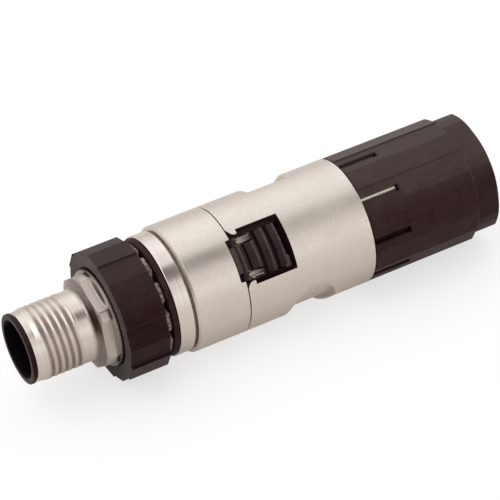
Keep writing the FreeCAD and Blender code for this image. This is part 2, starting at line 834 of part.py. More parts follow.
def make_contact(number):
    """One contact: a round pin at the front and an insulation displacement fork at the rear."""
    label = "contact_%d" % number
    body = new_body(label, housing_roll + contact_roll + contact_pitch * (number - 1))
    pin = sketch_on(body, "XZ_Plane", label + "_section")
    pin.setExpression("AttachmentOffset.Base.y", pin_circle.formula)
    outline(pin, [
        (contact_inset, 0),
        (contact_inset, contact_tip_r),
        (contact_inset + contact_tip, contact_r),
        (block_stop, contact_r),
        (block_stop, 0)])
    revolve(body, pin)
    fork = sketch_on(body, "XZ_Plane", label + "_fork")
    fork.setExpression("AttachmentOffset.Base.y", pin_circle.formula)
    root_stop = block_stop + fork_half / 2
    fork_stop = block_stop + fork_length
    outline(fork, [
        (block_stop, -fork_half),
        (fork_stop - fork_slot, -fork_half),
        (fork_stop, -(fork_half / 2)),
        (fork_stop - fork_slot * 2, -fork_slot),
        (root_stop, -fork_slot),
        (root_stop, fork_slot),
        (fork_stop - fork_slot * 2, fork_slot),
        (fork_stop, fork_half / 2),
        (fork_stop - fork_slot, fork_half),
        (block_stop, fork_half)])
    pad(body, fork, fork_thick, symmetric=True)


def make_wire_manager():
    body = new_body("wire_manager", housing_roll)
    section = sketch_on(body, "XY_Plane", "manager_section")
    tube(section, manager_front, manager_stop, 0, block_r)
    revolve(body, section)
    holes = sketch_on(body, "YZ_Plane", "manager_holes", manager_front + fork_half)
    contact_spots(holes, wire_r)
    pocket(body, holes, manager_length)
    slits = sketch_on(body, "YZ_Plane", "manager_slit", manager_front - past)
    side = fork_thick / 2 + turn_gap
    tall = fork_half + turn_gap
    turn = contact_roll
    low = pin_circle - tall
    high = pin_circle + tall
    across = spoke(side, turn + 90)
    outline(slits, [
        (spoke(low, turn)[0] + across[0], spoke(low, turn)[1] + across[1]),
        (spoke(high, turn)[0] + across[0], spoke(high, turn)[1] + across[1]),
        (spoke(high, turn)[0] - across[0], spoke(high, turn)[1] - across[1]),
        (spoke(low, turn)[0] - across[0], spoke(low, turn)[1] - across[1])])
    cut = pocket(body, slits, fork_length + past + turn_gap * 2)
    around(body, cut, as_size(contact_count), "manager_slits")


def make_shield_can():
    body = new_body("shield_can")
    section = sketch_on(body, "XY_Plane", "can_section")
    tube(section, block_front, plug_stop - can_gap, can_r - can_thick, can_r)
    revolve(body, section)


# Cable end

def make_clamp_cage():
    body = new_body("clamp_cage", rod_roll)
    seal_at = cage_front + cage_seal_place
    section = sketch_on(body, "XY_Plane", "cage_section")
    outline(section, [
        (cage_front, plug_r - cage_wall),
        (cage_front, plug_r),
        (seal_at - ring_width / 2, plug_r),
        (seal_at - ring_width / 2, plug_r - ring_depth),
        (seal_at + ring_width / 2, plug_r - ring_depth),
        (seal_at + ring_width / 2, plug_r),
        (skirt_front, plug_r),
        (skirt_front, skirt_r),
        (skirt_stop, skirt_r),
        (skirt_stop, cage_thread_r),
        (cage_thread_stop, cage_thread_r),
        (cage_thread_stop, finger_r),
        (cage_stop, finger_tip_r),
        (cage_stop, cage_bore),
        (seal_stop - seal_length - seat_gap, cage_bore),
        (seal_stop - seal_length - seat_gap, plug_r - cage_wall - move_gap),
        (skirt_front, plug_r - cage_wall)])
    revolve(body, section)
    groove = sketch_on(body, "YZ_Plane", "cage_groove", skirt_front - seat_gap)
    groove_half = rod_r + seat_gap
    rectangle(groove, (-groove_half, skirt_r - groove_half * 2), (groove_half, skirt_r + past))
    cut = pocket(body, groove, skirt_length + seat_gap)
    around(body, cut, as_size(rod_count), "cage_grooves")
    slot = sketch_on(body, "YZ_Plane", "cage_slot", cage_thread_stop)
    rectangle(slot, (-finger_slot, cage_bore - past), (finger_slot, finger_r + past))
    cut = pocket(body, slot, finger_length + past)
    around(body, cut, finger_count, "cage_slots")


def make_shield_spring(number):
    """One metal contact rod in a groove of the cage."""
    label = "shield_spring_%d" % number
    body = new_body(label, rod_roll + rod_spacing * (number - 1))
    section = sketch_on(body, "XY_Plane", label + "_section")
    rod_height = skirt_r - rod_r
    section.AttachmentOffset = FreeCAD.Placement(FreeCAD.Vector(0, 0, 1), FreeCAD.Rotation())
    section.setExpression("AttachmentOffset.Base.z", rod_height.formula)
    outline(section, [
        (skirt_front, 0),
        (skirt_front, rod_r),
        (skirt_stop - rod_r, rod_r),
        (skirt_stop - seat_gap, rod_r / 2),
        (skirt_stop - seat_gap, 0)])
    revolve(body, section)


def make_cable_seal():
    body = new_body("cable_seal")
    section = sketch_on(body, "XY_Plane", "seal_section")
    tube(section, seal_stop - seal_length, seal_stop, cable_r, seal_r)
    revolve(body, section)


def make_thrust_washer():
    body = new_body("thrust_washer")
    section = sketch_on(body, "XY_Plane", "thrust_section")
    tube(section, thrust_front, thrust_stop, nut_bore, thrust_r)
    revolve(body, section)


def make_gland_nut():
    body = new_body("gland_nut", nut_roll)
    cone_front = skirt_front + nut_slot_length + turn_gap
    cone_start = cage_thread_stop + nut_cone_gap
    bevel_front = nut_stop - (nut_end_r - nut_end_face_r) * nut_end_bevel
    washer_bore = thrust_r + turn_gap
    section = sketch_on(body, "XY_Plane", "nut_section")
    outline(section, [
        (nut_front, nut_skirt_bore),
        (nut_front, nut_high_r),
        (facet_stop, nut_high_r),
        (slope_stop, nut_end_r),
        (bevel_front, nut_end_r),
        (nut_stop, nut_end_face_r),
        (nut_stop, nut_bore),
        (thrust_stop + seat_gap, nut_bore),
        (thrust_stop + seat_gap, washer_bore),
        (cage_stop + turn_gap, washer_bore),
        (cage_stop + turn_gap, finger_tip_r + nut_cone_gap),
        (cone_start, finger_r + nut_cone_gap),
        (cone_start, nut_thread_bore),
        (cone_front, nut_thread_bore),
        (cone_front, nut_skirt_bore)])
    revolve(body, section)
    facets = sketch_on(body, "YZ_Plane", "nut_facets", nut_front - past)
    half = nut_facet / 2
    reach = nut_high_r + past * 2
    outline(facets, [
        spoke(nut_low_r, -half),
        spoke(nut_mid_r, half),
        spoke(nut_high_r, half + nut_facet),
        spoke(reach, half + nut_facet),
        spoke(reach, half),
        spoke(reach, -half)])
    cut = pocket(body, facets, nut_length + nut_slope + past)
    around(body, cut, nut_sectors, "nut_teeth")
    corner_r = nut_end_across / (cosine(30) * 2)
    hexagon = sketch_on(body, "YZ_Plane", "nut_hexagon", slope_stop)
    ring_region(hexagon, nut_high_r + past, [spoke(corner_r, -half + 60 * number) for number in range(6)])
    pocket(body, hexagon, nut_end + past)
    slot = sketch_on(body, "YZ_Plane", "nut_slot", nut_front - past)
    rectangle(slot, (-nut_slot_half, nut_skirt_bore - past), (nut_slot_half, nut_high_r + past))
    cut = pocket(body, slot, nut_slot_length + past)
    around(body, cut, nut_sectors, "nut_slots")


# Build every sub-part, check it and write it

make_coupling_screw()
make_grip_ring()
make_snap_ring()
make_coupling_seal()
make_collar_ring()
make_front_housing()
make_rear_housing()
make_seal_ring("seam_seal", plug_stop - seam_seal_place)
make_seal_ring("cage_seal", cage_front + cage_seal_place)
make_release_latch()
make_latch_pin()
make_latch_bed()
make_contact_carrier()
for contact_number in range(1, contact_count + 1):
    make_contact(contact_number)
make_wire_manager()
make_shield_can()
make_clamp_cage()
for rod_number in range(1, rod_count + 1):
    make_shield_spring(rod_number)
make_cable_seal()
make_thrust_washer()
make_gland_nut()

doc.recompute()

for item in doc.Objects:
    if "Invalid" in item.State or "Error" in item.State:
        raise RuntimeError("%s failed: %s" % (item.Name, item.State))

for item in doc.Objects:
    before = None
    if item.TypeId == "PartDesign::Pocket":
        before = item.BaseFeature
    elif item.TypeId == "PartDesign::PolarPattern":
        before = item.Originals[0]
    if before is not None and item.Shape.Volume > before.Shape.Volume - 0.01:
        raise RuntimeError("%s cuts nothing" % item.Name)

for body in bodies:
    if body.Shape.isNull() or not body.Shape.isValid():
        raise RuntimeError("%s has no valid shape" % body.Label)
    if len(body.Shape.Solids) != 1:
        raise RuntimeError("%s has %d solids" % (body.Label, len(body.Shape.Solids)))

for body in bodies:
    body.Shape.exportStep("parts/%s.step" % body.Label)
    box = body.Shape.BoundBox
    print("%-16s volume %9.3f  x %6.2f to %6.2f" % (body.Label, body.Shape.Volume, box.XMin, box.XMax))
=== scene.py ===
import bpy
import bmesh
import json
import math
from mathutils import Matrix, Vector


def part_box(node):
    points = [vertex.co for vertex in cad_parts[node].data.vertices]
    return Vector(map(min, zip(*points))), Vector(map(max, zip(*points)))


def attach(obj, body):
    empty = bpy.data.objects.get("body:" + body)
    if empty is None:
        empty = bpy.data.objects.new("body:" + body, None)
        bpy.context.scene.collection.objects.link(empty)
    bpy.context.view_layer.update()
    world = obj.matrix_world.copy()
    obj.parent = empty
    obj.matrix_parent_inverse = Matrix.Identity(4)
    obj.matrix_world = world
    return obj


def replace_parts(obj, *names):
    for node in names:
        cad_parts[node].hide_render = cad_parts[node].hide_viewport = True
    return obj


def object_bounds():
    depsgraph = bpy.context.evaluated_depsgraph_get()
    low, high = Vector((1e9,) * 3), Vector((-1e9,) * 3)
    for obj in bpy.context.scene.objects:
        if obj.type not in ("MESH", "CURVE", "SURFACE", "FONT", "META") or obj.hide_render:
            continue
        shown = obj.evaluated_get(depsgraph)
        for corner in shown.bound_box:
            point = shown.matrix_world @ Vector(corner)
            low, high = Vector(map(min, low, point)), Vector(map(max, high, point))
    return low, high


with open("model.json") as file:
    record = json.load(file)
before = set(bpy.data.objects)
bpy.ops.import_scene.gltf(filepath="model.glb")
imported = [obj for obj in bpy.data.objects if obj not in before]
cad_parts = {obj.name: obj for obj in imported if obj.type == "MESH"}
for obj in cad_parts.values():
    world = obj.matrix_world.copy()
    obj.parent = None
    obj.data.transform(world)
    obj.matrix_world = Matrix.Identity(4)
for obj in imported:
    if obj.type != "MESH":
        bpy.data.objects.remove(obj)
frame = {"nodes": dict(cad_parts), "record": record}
cad_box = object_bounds()
nodes = frame["nodes"]
MM = 0.001

# Sizes are in mm: stations along the axis from the mouth, and radii about the axis.
# Turns are in degrees, from +Z towards -Y.

HOUSING_ROLL = 48.5
HEX_ROLL = 51.4
GRIP_ROLL = 59.0
NUT_ROLL = 0.0
ROD_ROLL = 38.2

SCREW_BORE_R = 5.17
THREAD_R = 5.88
THREAD_DEPTH = 0.11
THREAD_FRONT = 1.78
THREAD_STOP = 8.60
PITCH = 1.135
CREST_AT = 6.0
CREST_TURN = 20.0
REAR_FLANK = 0.62
ROOT_STOP = 0.70
FRONT_FLANK = 0.30
FADE_FRONT = 2.45
FADE_STOP = 8.45
FADE_LENGTH = 0.35
LEAD_DROP = 0.22
LEAD_STOP = 2.54
LEAD_LENGTH = 0.76
NECK_R = 5.80
HEX_FLAT_R = 7.2
HEX_CORNER_R = 7.90
BEVEL_FRONT = 11.14
BEVEL_LENGTH = 0.62
BEVEL_SLOPE = 2.5
FILLET_FRONT = 12.85
FILLET_LENGTH = 0.75
HUB_R = 7.95
CHAMBER_R = 7.0
SPIGOT_BORE_R = 6.42
LOBE_R = 9.5
LOBE_HEIGHT = 1.0

RIB_R = 10.85
VALLEY_EDGE_R = 10.45
VALLEY_PEAK_R = 10.65

CARRIER_LIP_R = 5.70
CARRIER_R = 5.05
CARRIER_BLOCK_R = 7.3
MOUTH_R = 4.75
CUP_R = 4.4

SPIGOT_R = 6.28
COLLAR_BORE_R = 7.62
COLLAR_R = 9.9
SHELL_FRONT = 25.88
SHELL_R = 10.43
SHELL_BORE_R = 8.67
PLUG_R = 8.6
PLUG_BORE_R = 7.68
SHELL_SEAT_R = 9.3
TOOL_LOW_R = 6.5
TOOL_TOP_R = 12

POST_PLACE = 37.10
POST_ACROSS = 2.65
POST_HALF_RUN = 1.08
POST_R = 0.43
POST_FOOT_R = 7.7
POST_TOP_R = 9.60
POST_DOME = 0.75 * POST_R
WINDOW_REACH = 8.8

RECESS_PLACE = 46.3
RECESS_HALF_LENGTH = 4.15
RECESS_HALF_WIDTH = 5.75
RECESS_TURNS = (81.75, 261.75)
RECESS_HALF_SPREAD = 42
RECESS_FLOOR_R = 9.5

NUT_SECTORS = 9
FACET_STOP = 76.35
SLOT_STOP = 64.15
SLOT_HALF = 0.6
NUT_FLAT_R = 9.55
NUT_CORNER_R = 10.15

ROD_R = 0.46
ROD_PLACE_R = 9.22

LATCH_FRONT = 34.14
LATCH_LENGTH = 8.36
LATCH_HALF_SPREAD = 20.3
LATCH_UNDER_R = 9.15
LATCH_SLOT_PLACE = 37.05
LATCH_SLOT_HALF_RUN = 1.05
LATCH_SLOT_R = 0.55


def ends(node):
    """Where a node starts and stops along the axis."""
    first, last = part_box(node)
    return first.x / MM, last.x / MM


screw_front = ends("coupling_screw")[0]
grip_front, grip_stop = ends("grip_ring")
front_start, plug_stop = ends("front_housing")
seam, body_stop = ends("rear_housing")
nut_front, nut_stop = ends("gland_nut")


# Outlines

NEARLY_STRAIGHT = math.radians(88)
NEARLY_FOLDED = 0.05
EDGE_SHARE = 0.49
SAME_TURN = 0.05


def arc(corner, before, after, radius, steps):
    """Points that round a corner of an outline."""
    corner, before, after = Vector(corner), Vector(before), Vector(after)
    to_before = (before - corner).normalized()
    to_after = (after - corner).normalized()
    half = math.acos(max(-1.0, min(1.0, to_before.dot(to_after)))) / 2
    if radius <= 0 or half > NEARLY_STRAIGHT or half < NEARLY_FOLDED:
        return [corner]
    room = EDGE_SHARE * min((before - corner).length, (after - corner).length)
    reach = min(radius / math.tan(half), room)
    fitted = reach * math.tan(half)
    centre = corner + (to_before + to_after).normalized() * (fitted / math.sin(half))
    start = corner + to_before * reach - centre
    stop = corner + to_after * reach - centre
    turn = start.angle_signed(stop)
    return [centre + Matrix.Rotation(-turn * step / steps, 2) @ start for step in range(steps + 1)]


def rounded(points, radius, steps):
    """A closed outline with its corners rounded; a point may give its own radius as a third number."""
    out = []
    count = len(points)
    for number, point in enumerate(points):
        own = point[2] if len(point) > 2 else radius
        out += arc(point[:2], points[number - 1][:2], points[(number + 1) % count][:2], own, steps)
    return out


def spoke(x, radius, turn):
    """The point at a station, radius and turn, in metres."""
    angle = math.radians(turn)
    return Vector((x, -radius * math.sin(angle), radius * math.cos(angle))) * MM


def columns(outline, extra):
    """(turn, radius) along a closed outline in the plane across the axis, with extra turns put in."""
    path = [(math.degrees(math.atan2(-point[0], point[1])) % 360, point.length) for point in outline]
    start = path.index(min(path))
    path = path[start:] + path[:start]
    if path[1][0] > path[-1][0]:
        path = [path[0]] + path[:0:-1]
    out = list(path)
    for turn in extra:
        turn %= 360
        for number, here in enumerate(path):
            after = path[(number + 1) % len(path)]
            wraps = number == len(path) - 1
            stop = after[0] + (360 if wraps else 0)
            look = turn + (360 if wraps and turn < here[0] else 0)
            if here[0] + SAME_TURN < look < stop - SAME_TURN:
                first = spoke(0, here[1], here[0])
                side = spoke(0, after[1], after[0]) - first
                ray = spoke(0, 1, turn)
                reach = (first.y * side.z - first.z * side.y) / (ray.y * side.z - ray.z * side.y)
                out.append((turn, reach))
    return sorted(out, key=lambda item: item[0])


def obround(middle, across, run, radius):
    """An outline in plan with two straight sides and round ends."""
    out = []
    for sign in (1, -1):
        for step in range(13):
            angle = math.radians(-90 + 15 * step)
            out.append((middle + sign * (run + radius * math.cos(angle)), across + sign * radius * math.sin(angle)))
    return out


# Meshes, with the distances in metres at which points merge and slivers go

MERGE = 2e-7
SLIVER = 1e-7


def belt(first, second, size):
    """Quads between two closed loops, given where each starts in the list of vertices."""
    quads = []
    for step in range(size):
        after = (step + 1) % size
        quads.append((first + step, first + after, second + after, second + step))
    return quads


def wrap(loops):
    """Vertices and faces through a ring of closed loops, closed both ways."""
    size = len(loops[0])
    verts = [point for loop in loops for point in loop]
    faces = []
    for row in range(len(loops)):
        faces += belt(row * size, (row + 1) % len(loops) * size, size)
    return verts, faces


def capped(loops):
    """Vertices and faces through a stack of closed loops, with the first and the last one filled."""
    size = len(loops[0])
    verts = [point for loop in loops for point in loop]
    faces = [tuple(range(size)), tuple(range(len(verts) - size, len(verts)))]
    for row in range(len(loops) - 1):
        faces += belt(row * size, (row + 1) * size, size)
    return verts, faces


def tile(front, stop, inside, outside, low_turn, high_turn, steps):
    """Vertices and faces of a curved tile: part of a tube between two turns."""
    loops = []
    for step in range(steps + 1):
        turn = low_turn + (high_turn - low_turn) * step / steps
        section = ((front, inside), (front, outside), (stop, outside), (stop, inside))
        loops.append([spoke(x, radius, turn) for x, radius in section])
    return capped(loops)


def clean(piece, crease):
    """Merges double points, turns the faces outwards and shades smooth between sharp edges."""
    mesh = piece.data
    shell = bmesh.new()
    shell.from_mesh(mesh)
    bmesh.ops.remove_doubles(shell, verts=shell.verts, dist=MERGE)
    bmesh.ops.dissolve_degenerate(shell, dist=SLIVER, edges=shell.edges)
    bmesh.ops.recalc_face_normals(shell, faces=shell.faces)
    shell.to_mesh(mesh)
    shell.free()
    mesh.shade_smooth()
    mesh.set_sharp_from_angle(angle=math.radians(crease))


def weigh(piece):
    """Lets the large faces set the shading of the small ones next to them."""
    modifier = piece.modifiers.new("normals", "WEIGHTED_NORMAL")
    modifier.keep_sharp = True
    modifier.weight = 100


def linked(name, verts, faces):
    """A plain object with this mesh, in the scene."""
    mesh = bpy.data.meshes.new(name)
    mesh.from_pydata(verts, [], faces)
    thing = bpy.data.objects.new(name, mesh)
    bpy.context.scene.collection.objects.link(thing)
    return thing


def make(name, verts, faces, material, body, crease):
    """A visible piece that rides on a body."""
    piece = linked(name, verts, faces)
    clean(piece, crease)
    piece.data.materials.append(material)
    weigh(piece)
    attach(piece, body)
    return piece


def turned(name, profile, material, body, steps, crease=40):
    """A turned piece: profile is a closed outline of (x, radius), or a function of the turn that gives one."""
    loops = []
    for number in range(steps):
        turn = 360 * number / steps
        outline = profile(turn) if callable(profile) else profile
        loops.append([spoke(point[0], point[1], turn) for point in outline])
    return make(name, *wrap(loops), material, body, crease)


def cutter(name, verts, faces):
    """A block that cuts another piece and isn't kept."""
    tool = linked(name, verts, faces)
    shell = bmesh.new()
    shell.from_mesh(tool.data)
    bmesh.ops.recalc_face_normals(shell, faces=shell.faces)
    shell.to_mesh(tool.data)
    shell.free()
    return tool


def prism(name, outline, low, high, roll, turns=(0,)):
    """A cutting block: an outline in plan (x, across), raised from low to high along the roll's spoke,
    and repeated at each of the turns."""
    verts, faces = [], []
    for extra in turns:
        turn = Matrix.Rotation(math.radians(roll + extra), 4, "X")
        loops = [[turn @ Vector((x * MM, y * MM, height * MM)) for x, y in outline] for height in (low, high)]
        block, sides = capped(loops)
        faces += [tuple(len(verts) + number for number in face) for face in sides]
        verts += block
    return cutter(name, verts, faces)


def cut(piece, tool, operation="DIFFERENCE", crease=40):
    """Applies a boolean to the piece's mesh and removes the tool."""
    modifier = piece.modifiers.new("cut", "BOOLEAN")
    modifier.operation = operation
    modifier.solver = "EXACT"
    modifier.object = tool
    bpy.context.view_layer.update()
    for other in list(piece.modifiers):
        if other.type == "WEIGHTED_NORMAL":
            piece.modifiers.remove(other)
    graph = bpy.context.evaluated_depsgraph_get()
    mesh = bpy.data.meshes.new_from_object(piece.evaluated_get(graph))
    piece.modifiers.clear()
    uncut = piece.data
    piece.data = mesh
    bpy.data.meshes.remove(uncut)
    bpy.data.objects.remove(tool)
    while len(mesh.materials) > 1:
        mesh.materials.pop()
    clean(piece, crease)
    weigh(piece)


# Shader nodes

def tree(name, slot):
    """A new material, with its node tree, its shader and the object's own coordinates."""
    material = bpy.data.materials.new(name)
    material.use_nodes = True
    material["slot"] = slot
    graph = material.node_tree
    place = graph.nodes.new("ShaderNodeTexCoord")
    return material, graph, graph.nodes["Principled BSDF"], place.outputs["Object"]


def grown(material):
    """The node tree and the object's coordinates of a material that is painted further."""
    graph = material.node_tree
    return graph, graph.nodes["Texture Coordinate"].outputs["Object"]


def noise(graph, where, scale, detail, stretch=None):
    """A noise from 0 to 1; stretch scales it along X, Y and Z."""
    if stretch is not None:
        mapping = graph.nodes.new("ShaderNodeMapping")
        mapping.inputs["Scale"].default_value = stretch
        graph.links.new(where, mapping.inputs["Vector"])
        where = mapping.outputs["Vector"]
    node = graph.nodes.new("ShaderNodeTexNoise")
    node.inputs["Scale"].default_value = scale
    node.inputs["Detail"].default_value = detail
    graph.links.new(where, node.inputs["Vector"])
    return node.outputs["Fac"]


def ramp(graph, source, low, high, start=0.35, stop=0.65):
    """Goes from low to high while the source goes from start to stop."""
    node = graph.nodes.new("ShaderNodeMapRange")
    node.inputs["From Min"].default_value = start
    node.inputs["From Max"].default_value = stop
    node.inputs["To Min"].default_value = low
    node.inputs["To Max"].default_value = high
    graph.links.new(source, node.inputs["Value"])
    return node.outputs["Result"]


def tint(graph, source, dark, light):
    """A colour that goes from dark to light with a noise."""
    node = graph.nodes.new("ShaderNodeValToRGB")
    for stop, spot, colour in zip(node.color_ramp.elements, (0.35, 0.65), (dark, light)):
        stop.position = spot
        stop.color = (*colour, 1)
    graph.links.new(source, node.inputs["Fac"])
    return node.outputs["Color"]


def bump(graph, height, strength, depth):
    """Adds relief to the shader's normal."""
    node = graph.nodes.new("ShaderNodeBump")
    node.inputs["Strength"].default_value = strength
    node.inputs["Distance"].default_value = depth
    graph.links.new(height, node.inputs["Height"])
    normal = graph.nodes["Principled BSDF"].inputs["Normal"]
    if normal.is_linked:
        graph.links.new(normal.links[0].from_socket, node.inputs["Normal"])
    graph.links.new(node.outputs["Normal"], normal)


def calc(graph, operation, first, second=0.0):
    """A math node; each value is a socket or a number."""
    node = graph.nodes.new("ShaderNodeMath")
    node.operation = operation
    for socket, value in zip(node.inputs, (first, second)):
        if isinstance(value, (int, float)):
            socket.default_value = value
        else:
            graph.links.new(value, socket)
    return node.outputs["Value"]


def band(graph, value, rise, fall):
    """1 between two soft edges, each given by where it starts and stops."""
    return calc(graph, "MULTIPLY", ramp(graph, value, 0.0, 1.0, *rise), ramp(graph, value, 1.0, 0.0, *fall))


def along(graph, where, direction):
    """How far a point lies in a direction."""
    node = graph.nodes.new("ShaderNodeVectorMath")
    node.operation = "DOT_PRODUCT"
    node.inputs[1].default_value = direction
    graph.links.new(where, node.inputs[0])
    return node.outputs["Value"]


def split(graph, place):
    """The X, Y and Z of a vector."""
    node = graph.nodes.new("ShaderNodeSeparateXYZ")
    graph.links.new(place, node.inputs["Vector"])
    return node.outputs["X"], node.outputs["Y"], node.outputs["Z"]


def radius_of(graph, place):
    """Distance from the plug's axis, in mm."""
    flat = graph.nodes.new("ShaderNodeVectorMath")
    flat.operation = "MULTIPLY"
    flat.inputs[1].default_value = (0, 1000, 1000)
    graph.links.new(place, flat.inputs[0])
    length = graph.nodes.new("ShaderNodeVectorMath")
    length.operation = "LENGTH"
    graph.links.new(flat.outputs["Vector"], length.inputs[0])
    return length.outputs["Value"]


def station_of(graph, place):
    """Distance from the mouth along the axis, in mm."""
    return calc(graph, "MULTIPLY", split(graph, place)[0], 1000)


def turn_of(graph, place):
    """Turn about the axis in radians, from +Z towards -Y."""
    y, z = split(graph, place)[1:]
    return calc(graph, "ARCTAN2", calc(graph, "MULTIPLY", y, -1.0), z)


def lean_of(graph, place, height):
    """A height in mm as a share of the distance from the axis: 1 where the surface lies in its direction."""
    return calc(graph, "DIVIDE", height, calc(graph, "MAXIMUM", radius_of(graph, place), 0.01))


def blend(graph, share, first, second):
    """A colour between two colours; each is a socket or three numbers."""
    node = graph.nodes.new("ShaderNodeMix")
    node.data_type = "RGBA"
    graph.links.new(share, node.inputs["Factor"])
    for socket, value in ((node.inputs[6], first), (node.inputs[7], second)):
        if isinstance(value, tuple):
            socket.default_value = (*value, 1)
        else:
            graph.links.new(value, socket)
    return node.outputs[2]


def paint(graph, share, colour):
    """Lays a colour over the surface's own, by a share from 0 to 1."""
    base = graph.nodes["Principled BSDF"].inputs["Base Color"]
    graph.links.new(blend(graph, share, base.links[0].from_socket, colour), base)


# Materials

TURNING_LINES = (14, 0.12, 0.12)
NICKEL_DARK = (0.72, 0.672, 0.625)
BLACK_DARK = (0.0155, 0.0028, 0.0034)
BLACK_PALE = (0.0215, 0.0050, 0.0058)
SPECK = (0.09, 0.074, 0.070)
# Pale grey blended onto the upper side of black plastic: painted light from above.
TOP_LIGHT_GREY = (0.25, 0.225, 0.21)
RIBBED_CREST_FRONTS = (35.42, 37.80, 40.0, 42.12)


def satin_metal(name, rough):
    """Blasted and plated metal: fine even grain, a little cloudy."""
    material, graph, shader, place = tree(name, "nickel_satin")
    shader.inputs["Metallic"].default_value = 1.0
    grain = noise(graph, place, 5200, 3)
    cloud = noise(graph, place, 260, 3)
    fine = tint(graph, grain, NICKEL_DARK, (0.87, 0.825, 0.78))
    patches = ramp(graph, cloud, 0.0, 0.35)
    graph.links.new(blend(graph, patches, fine, (0.74, 0.69, 0.643)), shader.inputs["Base Color"])
    graph.links.new(ramp(graph, cloud, rough - 0.03, rough + 0.03), shader.inputs["Roughness"])
    bump(graph, grain, 0.30, 0.00002)
    return material


def turned_metal():
    """Turned and plated metal: fine lines round the axis."""
    material, graph, shader, place = tree("turned_nickel", "nickel_turned")
    shader.inputs["Metallic"].default_value = 1.0
    lines = noise(graph, place, 900, 4, TURNING_LINES)
    cloud = noise(graph, place, 320, 2)
    graph.links.new(tint(graph, lines, (0.75, 0.705, 0.66), (0.88, 0.84, 0.80)), shader.inputs["Base Color"])
    graph.links.new(ramp(graph, cloud, 0.17, 0.22), shader.inputs["Roughness"])
    bump(graph, lines, 0.22, 0.00001)
    return material


def thread_roots_residue_and_shade(graph, turn, station):
    """Share of the dull brown over the thread, strongest on the flank behind each crest: partly residue, partly
    painted shade, and thinner on the side away from the latch.
    """
    lead = calc(graph, "MULTIPLY", calc(graph, "SUBTRACT", station, CREST_AT), 2 * math.pi / PITCH)
    phase = calc(graph, "ADD", calc(graph, "SUBTRACT", lead, turn), math.radians(CREST_TURN))
    wave = calc(graph, "COSINE", calc(graph, "SUBTRACT", phase, 2 * math.pi * 0.34))
    roots = ramp(graph, wave, 0.28, 1.0, -0.62, 0.42)
    threads = band(graph, station, (2.5, 2.75), (8.15, 8.5))
    # Less painted shade towards the top: the share falls from 20 to 2 degrees of turn.
    below = ramp(graph, turn, 0.45, 1.0, math.radians(2), math.radians(20))
    return calc(graph, "MULTIPLY", calc(graph, "MULTIPLY", roots, threads), below)


def screw_metal():
    """The coupling screw: turned crests, dull brown thread roots that are partly residue and partly painted shade,
    painted shade in the corner at the hexagon's front, painted shade over the hexagon and its round collar, and a
    rough rear collar."""
    material, graph, shader, place = tree("screw_nickel", "nickel_turned")
    shader.inputs["Metallic"].default_value = 1.0
    lines = noise(graph, place, 900, 4, TURNING_LINES)
    grain = noise(graph, place, 4200, 3)
    station = station_of(graph, place)
    turn = turn_of(graph, place)
    # Dull brown over the thread: partly residue, partly painted shade.
    root_residue_and_shade = thread_roots_residue_and_shade(graph, turn, station)
    # Painted shade and reflection in the concave corner at the hexagon's front, strongest near 52 degrees of turn.
    corner_band = band(graph, station, (10.30, 10.85), (11.42, 11.55))
    away = calc(graph, "ABSOLUTE", calc(graph, "SUBTRACT", turn, math.radians(52)))
    middle = calc(graph, "SUBTRACT", 1.0, away)
    corner = calc(graph, "MULTIPLY", corner_band, ramp(graph, middle, 0.70, 1.0, 0.48, 0.78))
    # Painted shade: the hexagon goes part way towards a dark brown from its front bevel on, and the round collar
    # most of the way.
    hex_shade = ramp(graph, station, 0.0, 0.42, 11.3, 11.6)
    shade = calc(graph, "MAXIMUM", hex_shade, ramp(graph, station, 0.0, 0.85, 12.6, 13.15))
    rear = ramp(graph, station, 0.0, 1.0, 20.5, 20.8)
    bare = tint(graph, lines, NICKEL_DARK, (0.86, 0.815, 0.77))
    dull = tint(graph, grain, (0.27, 0.212, 0.182), (0.40, 0.330, 0.285))
    corner_shade_tint = tint(graph, grain, (0.050, 0.028, 0.025), (0.12, 0.085, 0.072))
    rough = tint(graph, noise(graph, place, 1900, 3), (0.085, 0.064, 0.055), (0.35, 0.30, 0.265))
    corner_shaded = blend(graph, corner, blend(graph, root_residue_and_shade, bare, dull), corner_shade_tint)
    shaded = blend(graph, shade, corner_shaded, (0.185, 0.145, 0.125))
    graph.links.new(blend(graph, rear, shaded, rough), shader.inputs["Base Color"])
    matt = calc(graph, "MAXIMUM", root_residue_and_shade, rear)
    graph.links.new(ramp(graph, matt, 0.22, 0.42, 0.0, 1.0), shader.inputs["Roughness"])
    bump(graph, lines, 0.20, 0.00001)
    bump(graph, grain, 0.30, 0.00003)
    return material


def plain_metal(name, slot, dark, light, rough):
    """Metal with a fine even grain between two colours."""
    material, graph, shader, place = tree(name, slot)
    shader.inputs["Metallic"].default_value = 1.0
    grain = noise(graph, place, 3000, 3)
    graph.links.new(tint(graph, grain, dark, light), shader.inputs["Base Color"])
    graph.links.new(ramp(graph, grain, rough - 0.04, rough + 0.04), shader.inputs["Roughness"])
    bump(graph, grain, 0.2, 0.00001)
    return material


def post_metal():
    """Hinge posts: dull metal, with painted shade that darkens them towards the cable end."""
    material = plain_metal("posts_painted_shade", "nickel_satin", (0.32, 0.275, 0.245), (0.44, 0.385, 0.345), 0.42)
    graph, place = grown(material)
    # Painted shade: darker towards the cable end.
    paint(graph, ramp(graph, station_of(graph, place), 0.0, 0.95, 36.3, 38.4), (0.020, 0.010, 0.010))
    return material


